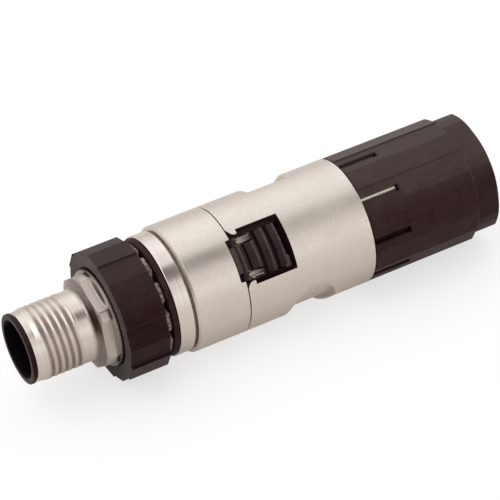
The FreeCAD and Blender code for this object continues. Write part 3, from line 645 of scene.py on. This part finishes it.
def black_plastic(name, rough=0.45, tone=(1.0, 1.0, 1.0), top_light=0.10, shine=1.0):
    """Moulded plastic with a finely eroded, slightly reddish black surface and pale specks, blended towards pale
    grey on its upper side as painted light from above."""
    material, graph, shader, place = tree(name, "black_plastic")
    shader.inputs["Specular IOR Level"].default_value = 0.11 * shine
    shader.inputs["Sheen Weight"].default_value = 0.28 * shine
    shader.inputs["Sheen Roughness"].default_value = 0.36
    grain = noise(graph, place, 4600, 2)
    cloud = noise(graph, place, 420, 4)
    specks = noise(graph, place, 3400, 3)
    dark = tuple(share * value for share, value in zip(tone, BLACK_DARK))
    pale = tuple(share * value for share, value in zip(tone, BLACK_PALE))
    dots = ramp(graph, specks, 0.0, 0.30, 0.58, 0.74)
    dotted = blend(graph, dots, tint(graph, cloud, dark, pale), SPECK)
    height = calc(graph, "MULTIPLY", split(graph, place)[2], 1000)
    # Painted light from above: the higher a point lies round the axis, the paler it gets.
    top_light_share = ramp(graph, lean_of(graph, place, height), 0.0, top_light, 0.45, 1.0)
    graph.links.new(blend(graph, top_light_share, dotted, TOP_LIGHT_GREY), shader.inputs["Base Color"])
    graph.links.new(ramp(graph, grain, rough - 0.05, rough + 0.06), shader.inputs["Roughness"])
    bump(graph, grain, 0.35, 0.00002)
    return material


def latch_plastic():
    """The latch: pale on the front edge of its crests, partly wear and partly painted highlight, pale on its tab,
    and near black in its grooves as painted shade.
    """
    material = black_plastic("latch_plastic", tone=(1.55, 3.6, 3.2), top_light=0.03)
    graph, place = grown(material)
    station = station_of(graph, place)
    # Pale front edges of the crests: partly wear, partly painted highlight.
    wear_and_highlight = None
    for front in RIBBED_CREST_FRONTS:
        edge = band(graph, station, (front - 0.10, front + 0.06), (front + 0.26, front + 0.42))
        wear_and_highlight = edge if wear_and_highlight is None else calc(graph, "MAXIMUM", wear_and_highlight, edge)
    patchy = ramp(graph, noise(graph, place, 3800, 3), 0.25, 1.0, 0.38, 0.62)
    crest = calc(graph, "MULTIPLY", wear_and_highlight, patchy)
    tab = ramp(graph, station, 0.60, 0.0, 34.95, 35.1)
    # Painted shade: the grooves go near black below a radius of 9.76 mm.
    groove = ramp(graph, radius_of(graph, place), 1.0, 0.0, 9.62, 9.76)
    paint(graph, calc(graph, "MAXIMUM", crest, tab), (0.105, 0.088, 0.080))
    paint(graph, groove, (0.008, 0.001, 0.002))
    return material


def nut_plastic():
    """The gland nut: a lighter plastic with more painted light on its upper side, and a painted patchy reflection on
    one facet behind the slots.
    """
    material = black_plastic("nut_plastic", tone=(1.65, 3.1, 2.8), top_light=0.15)
    graph, place = grown(material)
    facet_turn = math.radians(40)
    height = along(graph, place, (0, -1000 * math.sin(facet_turn), 1000 * math.cos(facet_turn)))
    facing = ramp(graph, lean_of(graph, place, height), 0.0, 1.0, 0.9835, 0.9860)
    behind_slots = ramp(graph, station_of(graph, place), 0.0, 1.0, 64.1, 64.4)
    patchy = ramp(graph, noise(graph, place, 4200, 3), 0.08, 0.60, 0.42, 0.68)
    # Painted reflection: a patchy pale grey on the facet that faces the turn given above.
    facet = calc(graph, "MULTIPLY", facing, behind_slots)
    paint(graph, calc(graph, "MULTIPLY", facet, patchy), (0.085, 0.066, 0.058))
    return material


def insulator_plastic():
    """The insulator: black plastic, with painted shade making it darkest inside the cup."""
    material = black_plastic("insulator_plastic", tone=(1.0, 1.4, 1.4), top_light=0.06, shine=0.6)
    graph, place = grown(material)
    # Painted shade inside the cup.
    paint(graph, ramp(graph, radius_of(graph, place), 0.92, 0.0, 4.77, 4.82), (0.002, 0.0006, 0.0008))
    return material


def rubber():
    """Smooth black rubber, a little cloudy."""
    material, graph, shader, place = tree("black_rubber", "black_rubber")
    shader.inputs["Specular IOR Level"].default_value = 0.12
    cloud = noise(graph, place, 900, 3)
    graph.links.new(tint(graph, cloud, (0.026, 0.009, 0.010), (0.050, 0.024, 0.023)), shader.inputs["Base Color"])
    graph.links.new(ramp(graph, cloud, 0.42, 0.58), shader.inputs["Roughness"])
    bump(graph, cloud, 0.2, 0.00002)
    return material


satin = satin_metal("satin_nickel", 0.38)
smoother = satin_metal("satin_nickel_smoother", 0.31)
bright = turned_metal()
threaded = screw_metal()
black = black_plastic("eroded_plastic")
ribbed = latch_plastic()
gum = rubber()
steel = plain_metal("drawn_steel", "spring_steel", (0.84, 0.78, 0.69), (0.95, 0.90, 0.81), 0.50)
posts = post_metal()
# Grey metal for the step beside the latch: a painted lit patch.
lit_patch_metal = plain_metal("lit_patch_metal", "nickel_satin", (0.17, 0.135, 0.120), (0.27, 0.225, 0.205), 0.50)
nut_black = nut_plastic()
# The cage: a paler black with much painted light on its upper side, so its slots look lit from above.
inner = black_plastic("cage_plastic", rough=0.55, tone=(0.5, 0.5, 0.5), top_light=0.42, shine=0.6)
insulator = insulator_plastic()
# A darker, duller black: painted shade for the tray under the latch and the lining on the window's end wall.
shade_black = black_plastic("recess_shade_plastic", rough=0.60, tone=(0.45, 0.3, 0.4), top_light=0.0, shine=0.12)
# Dull brown metal that paints shade into the groove in front of the shell.
groove_shade_brown = plain_metal("groove_shade_brown", "nickel_satin", (0.15, 0.112, 0.096), (0.26, 0.21, 0.185), 0.50)
gold = plain_metal("gold_contacts", "gold_contact", (0.80, 0.60, 0.25), (0.88, 0.70, 0.34), 0.25)
finishes = {"nickel_satin": satin, "nickel_turned": bright, "black_plastic": black,
            "black_rubber": gum, "spring_steel": steel, "gold_contact": gold}

for entry in frame["record"]["subparts"]:
    slots = nodes[entry["node"]].data.materials
    slots.clear()
    slots.append(inner if entry["node"] == "clamp_cage" else finishes[entry["material_slot"]])


# Coupling screw: collar, thread, neck, hexagon, round collar and lobed rear collar

def share_of(value):
    return max(0.0, min(1.0, value))


def smooth(value):
    value = share_of(value)
    return value * value * (3 - 2 * value)


def thread_radius(x, turn):
    """Radius of the threaded stretch: a shallow right-hand thread with a steeper front flank."""
    phase = ((x - CREST_AT) / PITCH - (turn - CREST_TURN) / 360) % 1.0
    depth = THREAD_DEPTH * (smooth(phase / REAR_FLANK) - smooth((phase - ROOT_STOP) / FRONT_FLANK))
    fade = smooth((x - FADE_FRONT) / FADE_LENGTH) * smooth((FADE_STOP - x) / FADE_LENGTH)
    return THREAD_R - depth * fade


def hex_radius(turn):
    """Distance to the flats of the hexagon, with its corners turned round."""
    offset = (turn - HEX_ROLL) % 60 - 30
    return min(HEX_FLAT_R / math.cos(math.radians(offset)), HEX_CORNER_R)


def lobe_radius(turn):
    """The rear collar has twelve rounded lobes."""
    offset = abs((turn - HEX_ROLL + 2) % 30 - 15)
    return LOBE_R - LOBE_HEIGHT * (1 - smooth(offset / 7.0))


def screw_profile(turn):
    points = [(screw_front, SCREW_BORE_R), (screw_front, 5.46), (screw_front + 0.12, 5.58),
              (screw_front + 0.2, 5.585), (1.50, 5.65), (1.60, 5.655), (1.70, 5.66)]
    for step in range(151):
        x = THREAD_FRONT + (THREAD_STOP - THREAD_FRONT) * step / 150
        lead = LEAD_DROP * share_of((LEAD_STOP - x) / LEAD_LENGTH)
        points.append((x, thread_radius(x, turn) - lead))
    points += [(x, NECK_R) for x in (8.75, 8.80, 8.90, 9.6, 10.30, 10.40, 10.45)]
    points += [(10.70, 5.84), (10.90, 5.97), (11.03, 6.15), (11.10, 6.40), (11.12, 6.50)]
    flat = hex_radius(turn)
    for step in range(15):
        x = BEVEL_FRONT + BEVEL_LENGTH * step / 14
        points.append((x, min(6.54 + (x - BEVEL_FRONT) * BEVEL_SLOPE, flat)))
    for step in range(9):
        x = FILLET_FRONT + FILLET_LENGTH * step / 8
        points.append((x, flat + (7.88 - flat) * smooth((x - 12.95) / 0.62)))
    points += [(13.7, 7.91), (13.9, HUB_R), (20.25, HUB_R), (20.80, HUB_R)]
    lobe = lobe_radius(turn)
    for x, drop in ((20.82, 0.50), (20.88, 0.32), (20.98, 0.15), (21.12, 0.04), (21.32, 0), (21.52, 0.02),
                    (21.68, 0.08), (21.80, 0.17), (21.90, 0.32), (21.96, 0.55)):
        points.append((x, lobe - drop))
    return points + [(21.96, SPIGOT_BORE_R), (15.35, SPIGOT_BORE_R), (15.35, CHAMBER_R), (13.0, CHAMBER_R),
                     (13.0, SCREW_BORE_R)]


screw = turned("threaded_screw", screw_profile, threaded, "coupling", 300, 35)
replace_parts(screw, "coupling_screw")


# Grip ring: six flat ribs with two shallow facets between them

def grip_ring():
    corners = []
    for rib in range(6):
        for turn, radius, soft in ((-10, RIB_R, 0.10), (10, RIB_R, 0.10), (10, VALLEY_EDGE_R, 0.05),
                                   (30, VALLEY_PEAK_R, 0.3), (50, VALLEY_EDGE_R, 0.05)):
            point = spoke(0, radius, GRIP_ROLL + rib * 60 + turn) / MM
            corners.append((point.y, point.z, soft))
    soft = 0.12
    loops = []
    for turn, radius in columns(rounded(corners, 0, 3), [10 * number for number in range(36)]):
        edge = []
        for step in range(4):
            lean = math.radians(30 * step)
            edge.append((grip_front + soft * (1 - math.sin(lean)), radius - soft * (1 - math.cos(lean))))
        outer = [(grip_front, 8.35)] + edge[::-1] + [(grip_front + grip_stop - x, r) for x, r in edge]
        bore = [(grip_stop, 7.97), (grip_front + 0.7, 7.97), (grip_front + 0.7, 8.15), (grip_front + 0.15, 8.15)]
        loops.append([spoke(x, r, turn) for x, r in outer + bore])
    return make("ribbed_ring", *wrap(loops), black, "coupling", 50)


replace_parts(grip_ring(), "grip_ring")


# Sealing washer and the bright ring behind it

def flat_washer():
    start, stop = ends("coupling_seal")
    outline = rounded([(start, 6.36), (start, 9.38, 0.15), (start + 0.30, 9.55, 0.2), (stop, 9.80, 0.06),
                       (stop, 6.36)], 0.03, 4)
    return turned("flat_washer", outline, gum, "housing", 200)


def bright_ring():
    start, stop = ends("collar_ring")
    back = stop - 0.03
    outline = rounded([(start, COLLAR_BORE_R), (start, COLLAR_R, 0.18), (back, COLLAR_R, 0.14),
                       (back, COLLAR_BORE_R)], 0.03, 4)
    return turned("bright_ring", outline, bright, "housing", 256)


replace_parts(flat_washer(), "coupling_seal")
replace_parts(bright_ring(), "collar_ring")


# Insulator with its lip and cup

def insulator_cup():
    stop = ends("contact_carrier")[1]
    outline = rounded([
        (0, 4.80, 0.08), (0, CARRIER_LIP_R, 0.12), (0.6, CARRIER_LIP_R, 0.04), (0.62, CARRIER_R),
        (28.1, CARRIER_R), (28.1, CARRIER_BLOCK_R), (stop, CARRIER_BLOCK_R), (stop, 0.05),
        (10, 0.05), (10, CUP_R), (3.2, CUP_R, 0.05), (3.2, MOUTH_R), (0.2, MOUTH_R)], 0.0, 4)
    return turned("insulator_cup", outline, insulator, "housing", 200)


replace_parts(insulator_cup(), "contact_carrier")


# Front shell with its notch and latch well, a brown ring as painted shade in the groove in front of it, and the
# hinge posts

WELL = [(38.75, -4.1), (38.75, 4.1), (43.55, 4.1), (43.55, -4.1)]


def front_shell():
    rim = seam - 0.05
    outline = rounded([
        (front_start, 5.12), (front_start, SPIGOT_R), (22.85, SPIGOT_R), (22.85, 7.53), (SHELL_FRONT, 7.53),
        (SHELL_FRONT, 10.08, 0.05), (SHELL_FRONT + 0.34, SHELL_R, 0.10), (rim, SHELL_R, 0.05), (rim, PLUG_R),
        (plug_stop, PLUG_R), (plug_stop, PLUG_BORE_R), (28.05, PLUG_BORE_R), (28.05, 5.12)], 0.0, 5)
    shell = turned("front_shell", outline, smoother, "housing", 288)
    notch = rounded([(seam - 0.85, -3.4, 0.12), (seam - 0.85, 3.4, 0.12), (seam + 0.4, 3.5), (seam + 0.4, -3.5)],
                    0, 5)
    cut(shell, prism("notch", notch, 8.2, TOOL_TOP_R, HOUSING_ROLL))
    cut(shell, prism("well", WELL, TOOL_LOW_R, TOOL_TOP_R, HOUSING_ROLL))
    return shell


def hinge_post(name, across):
    """A post with round ends and a domed top."""
    levels = [(POST_FOOT_R, 0.0)]
    for step in range(6):
        lean = math.radians(18 * step)
        levels.append((POST_TOP_R - POST_DOME * (1 - math.sin(lean)), POST_DOME * (1 - math.cos(lean))))
    turn = Matrix.Rotation(math.radians(HOUSING_ROLL), 4, "X")
    loops = []
    for height, inset in levels:
        plan = obround(POST_PLACE, across, POST_HALF_RUN, POST_R - inset)
        loops.append([turn @ (Vector((x, y, height)) * MM) for x, y in plan])
    return make(name, *capped(loops), posts, "housing", 60)


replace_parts(front_shell(), "front_housing")
# A brown ring filling the groove in front of the shell: painted shade.
turned("front_groove", [(25.52, 7.55), (25.52, 9.60), (SHELL_FRONT - 0.01, 9.60), (SHELL_FRONT - 0.01, 7.55)],
       groove_shade_brown, "housing", 200)
hinge_post("hinge_post_a", POST_ACROSS)
hinge_post("hinge_post_b", -POST_ACROSS)


# Black bed in the well under the latch, in a darker black as painted shade, a lining in front of it, a black lining
# over the window's end wall as painted shade, a grey step as a painted lit patch, and the side strips

def lining(name, front, stop, inside, outside, low_turn, high_turn, material, steps=16):
    """A curved tile on the housing; its turns are counted from the middle of the latch."""
    mesh = tile(front, stop, inside, outside, HOUSING_ROLL + low_turn, HOUSING_ROLL + high_turn, steps)
    return make(name, *mesh, material, "housing", 30)


def trim(piece, name, plan):
    """Keeps what lies inside an outline in plan."""
    cut(piece, prism(name, plan, TOOL_LOW_R, TOOL_TOP_R, HOUSING_ROLL), "INTERSECT", 30)


# Outline of the grey step: it follows a lit patch beside the latch, a painted pool of light.
STEP_PLAN = [(41.95, -4.0), (42.15, -3.78), (42.52, -3.42), (42.74, -2.8), (42.74, -1.6), (43.25, -2.0),
             (43.37, -2.3), (43.37, -4.0)]

bed = lining("latch_tray", 38.80, 43.45, 7.70, 8.05, -29, 29, shade_black)
trim(bed, "tray_plan", WELL)
lining("bed_front", 33.93, 36.1, 8.80, 8.93, -31.5, 31.5, black)
# A black lining over the window's end wall: painted shade.
lining("end_wall_shade", 43.38, 43.50, 8.70, 10.28, -24.5, 23.5, shade_black)
# The grey step: a painted pool of light.
trim(lining("tray_step", 41.9, 43.37, 8.10, 8.95, 8, 24.0, lit_patch_metal), "step_plan", STEP_PLAN)
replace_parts(bed, "latch_bed")
lining("bed_strip_a", 35.2, 43.9, 8.58, 8.78, 23.5, 31.5, black, 6)
lining("bed_strip_b", 35.2, 43.9, 8.58, 8.78, -31.5, -23.5, black, 6)


# Rear shell with its window and two D-shaped recesses

FLARE_UPPER = [(-0.1, 5.15), (0.12, 5.08), (0.30, 4.78), (0.46, 4.52), (0.62, 4.28), (0.80, 4.08), (1.0, 3.97),
               (1.45, 3.92), (1.58, 4.02), (1.6, 4.65), (WINDOW_REACH, 4.65)]
FLARE_LOWER = [(-0.1, 4.70), (0.12, 4.62), (0.30, 4.36), (0.46, 4.14), (0.62, 3.96), (0.80, 3.84), (1.0, 3.78),
               (1.45, 3.75), (1.6, 3.88), (1.6, 4.41), (WINDOW_REACH, 4.41)]


def recess_outline():
    """A D in plan: half an ellipse on one side, and a straight edge on the other."""
    points = []
    for step in range(37):
        angle = math.radians(5 * step)
        points.append((RECESS_PLACE + RECESS_HALF_LENGTH * math.cos(angle), RECESS_HALF_WIDTH * math.sin(angle)))
    return points + [(42.28, -4.3), (42.42, -5.68), (42.52, -5.75), (49.22, -5.75), (49.32, -5.68),
                     (49.40, -4.8), (49.70, -3.4), (50.12, -1.9)]


def wrench_recess(shell, roll):
    """Cuts a recess with a round floor into the shell."""
    spread = RECESS_HALF_SPREAD
    tool = cutter("recess", *tile(41, 52, RECESS_FLOOR_R, TOOL_TOP_R, roll - spread, roll + spread, 24))
    cut(tool, prism("recess_plan", recess_outline(), 5, 13, roll), "INTERSECT")
    tool.modifiers.clear()
    cut(shell, tool, crease=35)


def rear_shell():
    front, step = seam + 0.12, seam + 7.3
    outline = rounded([
        (front, SHELL_SEAT_R), (front, SHELL_R, 0.05), (body_stop, SHELL_R, 0.12), (body_stop, SHELL_BORE_R),
        (step, SHELL_BORE_R), (step, SHELL_SEAT_R)], 0.0, 3)
    shell = turned("rear_shell", outline, satin, "housing", 288)
    for turn in RECESS_TURNS:
        wrench_recess(shell, HOUSING_ROLL + turn)
    window = [(seam + x, y) for x, y in FLARE_UPPER] + [(seam + x, -y) for x, y in reversed(FLARE_LOWER)]
    cut(shell, prism("window", window, 6, TOOL_TOP_R, HOUSING_ROLL), crease=35)
    return shell


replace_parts(rear_shell(), "rear_housing")


# Gland nut: nine sawtooth sectors, nine slots, and the turned hexagon at the end

def gland_nut():
    corners = []
    for sector in range(NUT_SECTORS):
        for turn, radius, soft in ((-10, 10.40, 0.05), (10, 10.52, 0.3), (30, 10.62, 0.10)):
            point = spoke(0, radius, NUT_ROLL + sector * 40 + turn) / MM
            corners.append((point.y, point.z, soft))
    hexes = [60 * number - 10 + side for number in range(6) for side in (0, 9, -9, 15, -15, 20, -20, 30)]
    spread = [5 * number for number in range(72)]
    bore = [(nut_stop, 8.95), (nut_stop, 4.5), (nut_stop - 0.15, 4.32), (75.1, 4.32), (75.1, 6.4), (73.9, 6.4),
            (73.9, 7.4), (69.0, 8.1), (69.0, 8.9), (64.3, 8.9), (64.3, 9.76)]
    loops = []
    for turn, radius in columns(rounded(corners, 0, 3), hexes + spread):
        offset = (turn + 10) % 60 - 30
        flat = min(NUT_FLAT_R / math.cos(math.radians(offset)), NUT_CORNER_R)
        outline = [(nut_front, 9.76), (nut_front, radius - 0.12), (nut_front + 0.04, radius - 0.04),
                   (nut_front + 0.12, radius), (FACET_STOP - 0.08, radius), (FACET_STOP, radius - 0.03),
                   (FACET_STOP + 0.05, radius - 0.09), (FACET_STOP + 0.14, min(radius - 0.20, flat + 0.10)),
                   (FACET_STOP + 0.20, flat), (80.28, flat)]
        outline += [(x, min(flat, bevel)) for x, bevel in ((80.36, 10.08), (80.52, 9.80), (80.74, 9.32))]
        loops.append([spoke(x, r, turn) for x, r in outline + bore])
    nut = make("slotted_nut", *wrap(loops), nut_black, "nut", 40)
    slot = [(nut_front - 1, -SLOT_HALF), (nut_front - 1, SLOT_HALF), (SLOT_STOP, SLOT_HALF), (SLOT_STOP, -SLOT_HALF)]
    sectors = [40 * number for number in range(NUT_SECTORS)]
    cut(nut, prism("slots", slot, 9.0, TOOL_TOP_R, NUT_ROLL, sectors))
    return nut


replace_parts(gland_nut(), "gland_nut")


# Contact rods in the cage

def contact_rod(number, start, stop):
    """A thin rod with a rounded end; the three stand a third of a turn apart."""
    turn = Matrix.Rotation(math.radians(ROD_ROLL + 120 * (number - 1)), 4, "X")
    loops = []
    for x, radius in ((start, 0.02), (start, ROD_R), (stop - 0.13, ROD_R), (stop + 0.03, 0.42),
                      (stop + 0.15, 0.32), (stop + 0.23, 0.15), (stop + 0.25, 0.02)):
        loop = []
        for step in range(20):
            angle = math.radians(18 * step)
            point = Vector((x, radius * math.cos(angle), ROD_PLACE_R + radius * math.sin(angle)))
            loop.append(turn @ (point * MM))
        loops.append(loop)
    return make("contact_rod_%d" % number, *capped(loops), steel, "housing", 60)


for number in (1, 2, 3):
    node = "shield_spring_%d" % number
    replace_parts(contact_rod(number, *ends(node)), node)


# Release latch: ribbed cap with rounded corners, two slots and a front tab

LATCH_HEIGHTS = [
    (34.14, 9.62), (34.22, 9.74), (35.05, 9.86), (35.20, 9.96), (35.42, 10.12), (35.56, 10.17), (36.22, 10.16),
    (36.30, 9.45), (36.72, 9.40), (36.78, 9.74), (37.15, 9.84), (37.60, 10.0), (37.80, 10.12), (37.95, 10.17),
    (38.40, 10.16), (38.50, 9.45), (39.06, 9.40), (39.12, 9.74), (39.40, 9.82), (39.80, 10.0), (40.00, 10.12),
    (40.14, 10.17), (40.52, 10.16), (40.62, 9.45), (41.22, 9.40), (41.28, 9.74), (41.60, 9.86), (42.00, 10.06),
    (42.14, 10.16), (42.32, 10.17), (42.44, 10.10), (42.50, 9.96)]


def latch_height(x):
    """Outer radius of the latch along the axis."""
    for (before, low), (after, high) in zip(LATCH_HEIGHTS, LATCH_HEIGHTS[1:]):
        if x <= after:
            return low + (high - low) * (x - before) / (after - before)
    return LATCH_HEIGHTS[-1][1]


def release_latch():
    first, last = HOUSING_ROLL - LATCH_HALF_SPREAD, HOUSING_ROLL + LATCH_HALF_SPREAD
    width = 2 * LATCH_HALF_SPREAD
    loops = []
    for row in range(176):
        x = LATCH_FRONT + LATCH_LENGTH * row / 175
        top = latch_height(x)
        loop = [spoke(x, top, first + width * step / 24) for step in range(25)]
        loop += [spoke(x, LATCH_UNDER_R, last - width * step / 24) for step in range(25)]
        loops.append(loop)
    latch = make("ribbed_latch", *capped(loops), ribbed, "latch", 50)
    plan = rounded([(34.15, -2.1, 0.05), (35.05, -2.1), (35.05, -3.46, 0.2), (42.49, -3.46, 0.8),
                    (42.49, 3.46, 0.3), (35.05, 3.46, 0.2), (35.05, 2.1), (34.15, 2.1, 0.05)], 0.0, 6)
    cut(latch, prism("latch_plan", plan, 7, TOOL_TOP_R, HOUSING_ROLL), "INTERSECT")
    for across in (POST_ACROSS, -POST_ACROSS):
        slot = obround(LATCH_SLOT_PLACE, across, LATCH_SLOT_HALF_RUN, LATCH_SLOT_R)
        cut(latch, prism("latch_slot", slot, 7, TOOL_TOP_R, HOUSING_ROLL))
    return latch


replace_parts(release_latch(), "release_latch")


# Floor, backdrop and light

FLOOR_COLOUR = (0.66, 0.617, 0.572, 1)
FLOOR_GREY = (0.40, 0.40, 0.40, 1)
FLOOR_GLOW = 0.66
FLOOR_GLOSS = 0.22
TENT_TOP = 1.2
TENT_FOOT = 0.2
TENT = [(-180, 0.50), (-110, 0.55), (-90, 0.62), (-70, 0.82), (-50, 1.05), (-30, 1.10), (-10, 0.93), (20, 0.92),
        (50, 0.78), (70, 0.95), (85, 0.84), (100, 0.66), (130, 0.50), (180, 0.48)]
BROWN = (1.0, 0.86, 0.78)


def seen_rays(graph, gloss):
    """1 for camera rays, and the given share for glossy and transmitted rays."""
    path = graph.nodes.new("ShaderNodeLightPath").outputs
    through = calc(graph, "MAXIMUM", path["Is Glossy Ray"], path["Is Transmission Ray"])
    return calc(graph, "MAXIMUM", path["Is Camera Ray"], calc(graph, "MULTIPLY", through, gloss))


def floor_material():
    """Pale floor: white to the camera, with the object's shadow kept, and warm in the light it gives back."""
    material = bpy.data.materials.new("pale_floor")
    material.use_nodes = True
    graph = material.node_tree
    shader = graph.nodes["Principled BSDF"]
    shader.inputs["Base Color"].default_value = FLOOR_COLOUR
    shader.inputs["Roughness"].default_value = 0.8
    grey = graph.nodes.new("ShaderNodeBsdfDiffuse")
    grey.inputs["Color"].default_value = FLOOR_GREY
    glow = graph.nodes.new("ShaderNodeEmission")
    glow.inputs["Strength"].default_value = FLOOR_GLOW
    both = graph.nodes.new("ShaderNodeAddShader")
    graph.links.new(grey.outputs[0], both.inputs[0])
    graph.links.new(glow.outputs[0], both.inputs[1])
    mix = graph.nodes.new("ShaderNodeMixShader")
    graph.links.new(seen_rays(graph, FLOOR_GLOSS), mix.inputs["Fac"])
    graph.links.new(shader.outputs[0], mix.inputs[1])
    graph.links.new(both.outputs[0], mix.inputs[2])
    graph.links.new(mix.outputs[0], graph.nodes["Material Output"].inputs["Surface"])
    return material


def floor():
    size, height = 3, cad_box[0].z
    corners = [(-size, -size, height), (size, -size, height), (size, size, height), (-size, size, height)]
    sheet = linked("floor", corners, [(0, 1, 2, 3)])
    sheet.data.materials.append(floor_material())


def tent_colours(graph, where):
    """The tent's brightness round the axis, a little warmer where it is dim."""
    around = graph.nodes.new("ShaderNodeValToRGB")
    stops = around.color_ramp.elements
    around.color_ramp.interpolation = "EASE"
    for number, (angle, value) in enumerate(TENT):
        spot = (angle + 180) / 360
        stop = stops[number] if number < 2 else stops.new(spot)
        stop.position = spot
        level = (value - TENT_FOOT) / (TENT_TOP - TENT_FOOT)
        warm = 1 - min(1.0, value)
        stop.color = (level, level * (1 - 0.10 * warm), level * (1 - 0.20 * warm), 1)
    graph.links.new(ramp(graph, turn_of(graph, where), 0.0, 1.0, -math.pi, math.pi), around.inputs["Fac"])
    return around.outputs["Color"]


def cone(graph, where, direction, low, high, wide, narrow):
    """Goes from low outside a wide cone round a direction to high inside a narrow one."""
    facing = along(graph, where, Vector(direction).normalized())
    return ramp(graph, facing, low, high, math.cos(math.radians(wide)), math.cos(math.radians(narrow)))


def studio_world():
    """A soft white tent all round, brighter above and dimmer low down and in front of the mouth, with
    one dark card high above the cable end, a lamp above the mouth, a faint brown light from every side,
    and white behind the object."""
    world = bpy.data.worlds.new("studio")
    bpy.context.scene.world = world
    world.use_nodes = True
    graph = world.node_tree
    background = graph.nodes["Background"]
    background.inputs["Strength"].default_value = 1.0
    where = graph.nodes.new("ShaderNodeTexCoord").outputs["Generated"]
    card = cone(graph, where, (0.344, -0.367, 0.864), 1.0, 0.0, 19, 7)
    card.node.interpolation_type = "SMOOTHSTEP"
    lamp = cone(graph, where, (-0.48, -0.14, 0.87), 0.0, 0.60, 36, 16)
    end = ramp(graph, split(graph, where)[0], 1.0, 0.08, -0.62, -0.92)
    level = calc(graph, "MULTIPLY", calc(graph, "MULTIPLY", card, end), TENT_TOP - TENT_FOOT)
    brown = graph.nodes.new("ShaderNodeCombineXYZ")
    for socket, share in zip(brown.inputs, BROWN):
        graph.links.new(calc(graph, "ADD", lamp, TENT_FOOT * share), socket)
    glow = graph.nodes.new("ShaderNodeVectorMath")
    glow.operation = "MULTIPLY_ADD"
    graph.links.new(tent_colours(graph, where), glow.inputs[0])
    graph.links.new(level, glow.inputs[1])
    graph.links.new(brown.outputs["Vector"], glow.inputs[2])
    shown = blend(graph, seen_rays(graph, 0.0), glow.outputs["Vector"], (1, 1, 1))
    graph.links.new(shown, background.inputs["Color"])


floor()
studio_world()


# Camera at the photograph's view

SENSOR = 36
FOCAL_PIXELS = 2665.19
PICTURE_PIXELS = 500
CAMERA_PLACE = (-0.10299646, -0.30097995, 0.25254764)
CAMERA_RIGHT = (0.87316642, -0.48119669, -0.07765401)
CAMERA_UP = (0.34546858, 0.49857865, 0.7950288)
CAMERA_BACK = (-0.34384859, -0.72101947, 0.60158047)


def photo_camera():
    lens = bpy.data.cameras.new("photo_view")
    lens.sensor_fit = "HORIZONTAL"
    lens.sensor_width = SENSOR
    lens.lens = SENSOR * FOCAL_PIXELS / PICTURE_PIXELS
    lens.clip_start = 0.01
    lens.clip_end = 10
    camera = bpy.data.objects.new("photo_view", lens)
    turn = Matrix((CAMERA_RIGHT, CAMERA_UP, CAMERA_BACK)).transposed().to_4x4()
    camera.matrix_world = Matrix.Translation(Vector(CAMERA_PLACE)) @ turn
    bpy.context.scene.collection.objects.link(camera)
    bpy.context.scene.camera = camera


photo_camera()
bpy.context.scene.view_settings.view_transform = "Standard"
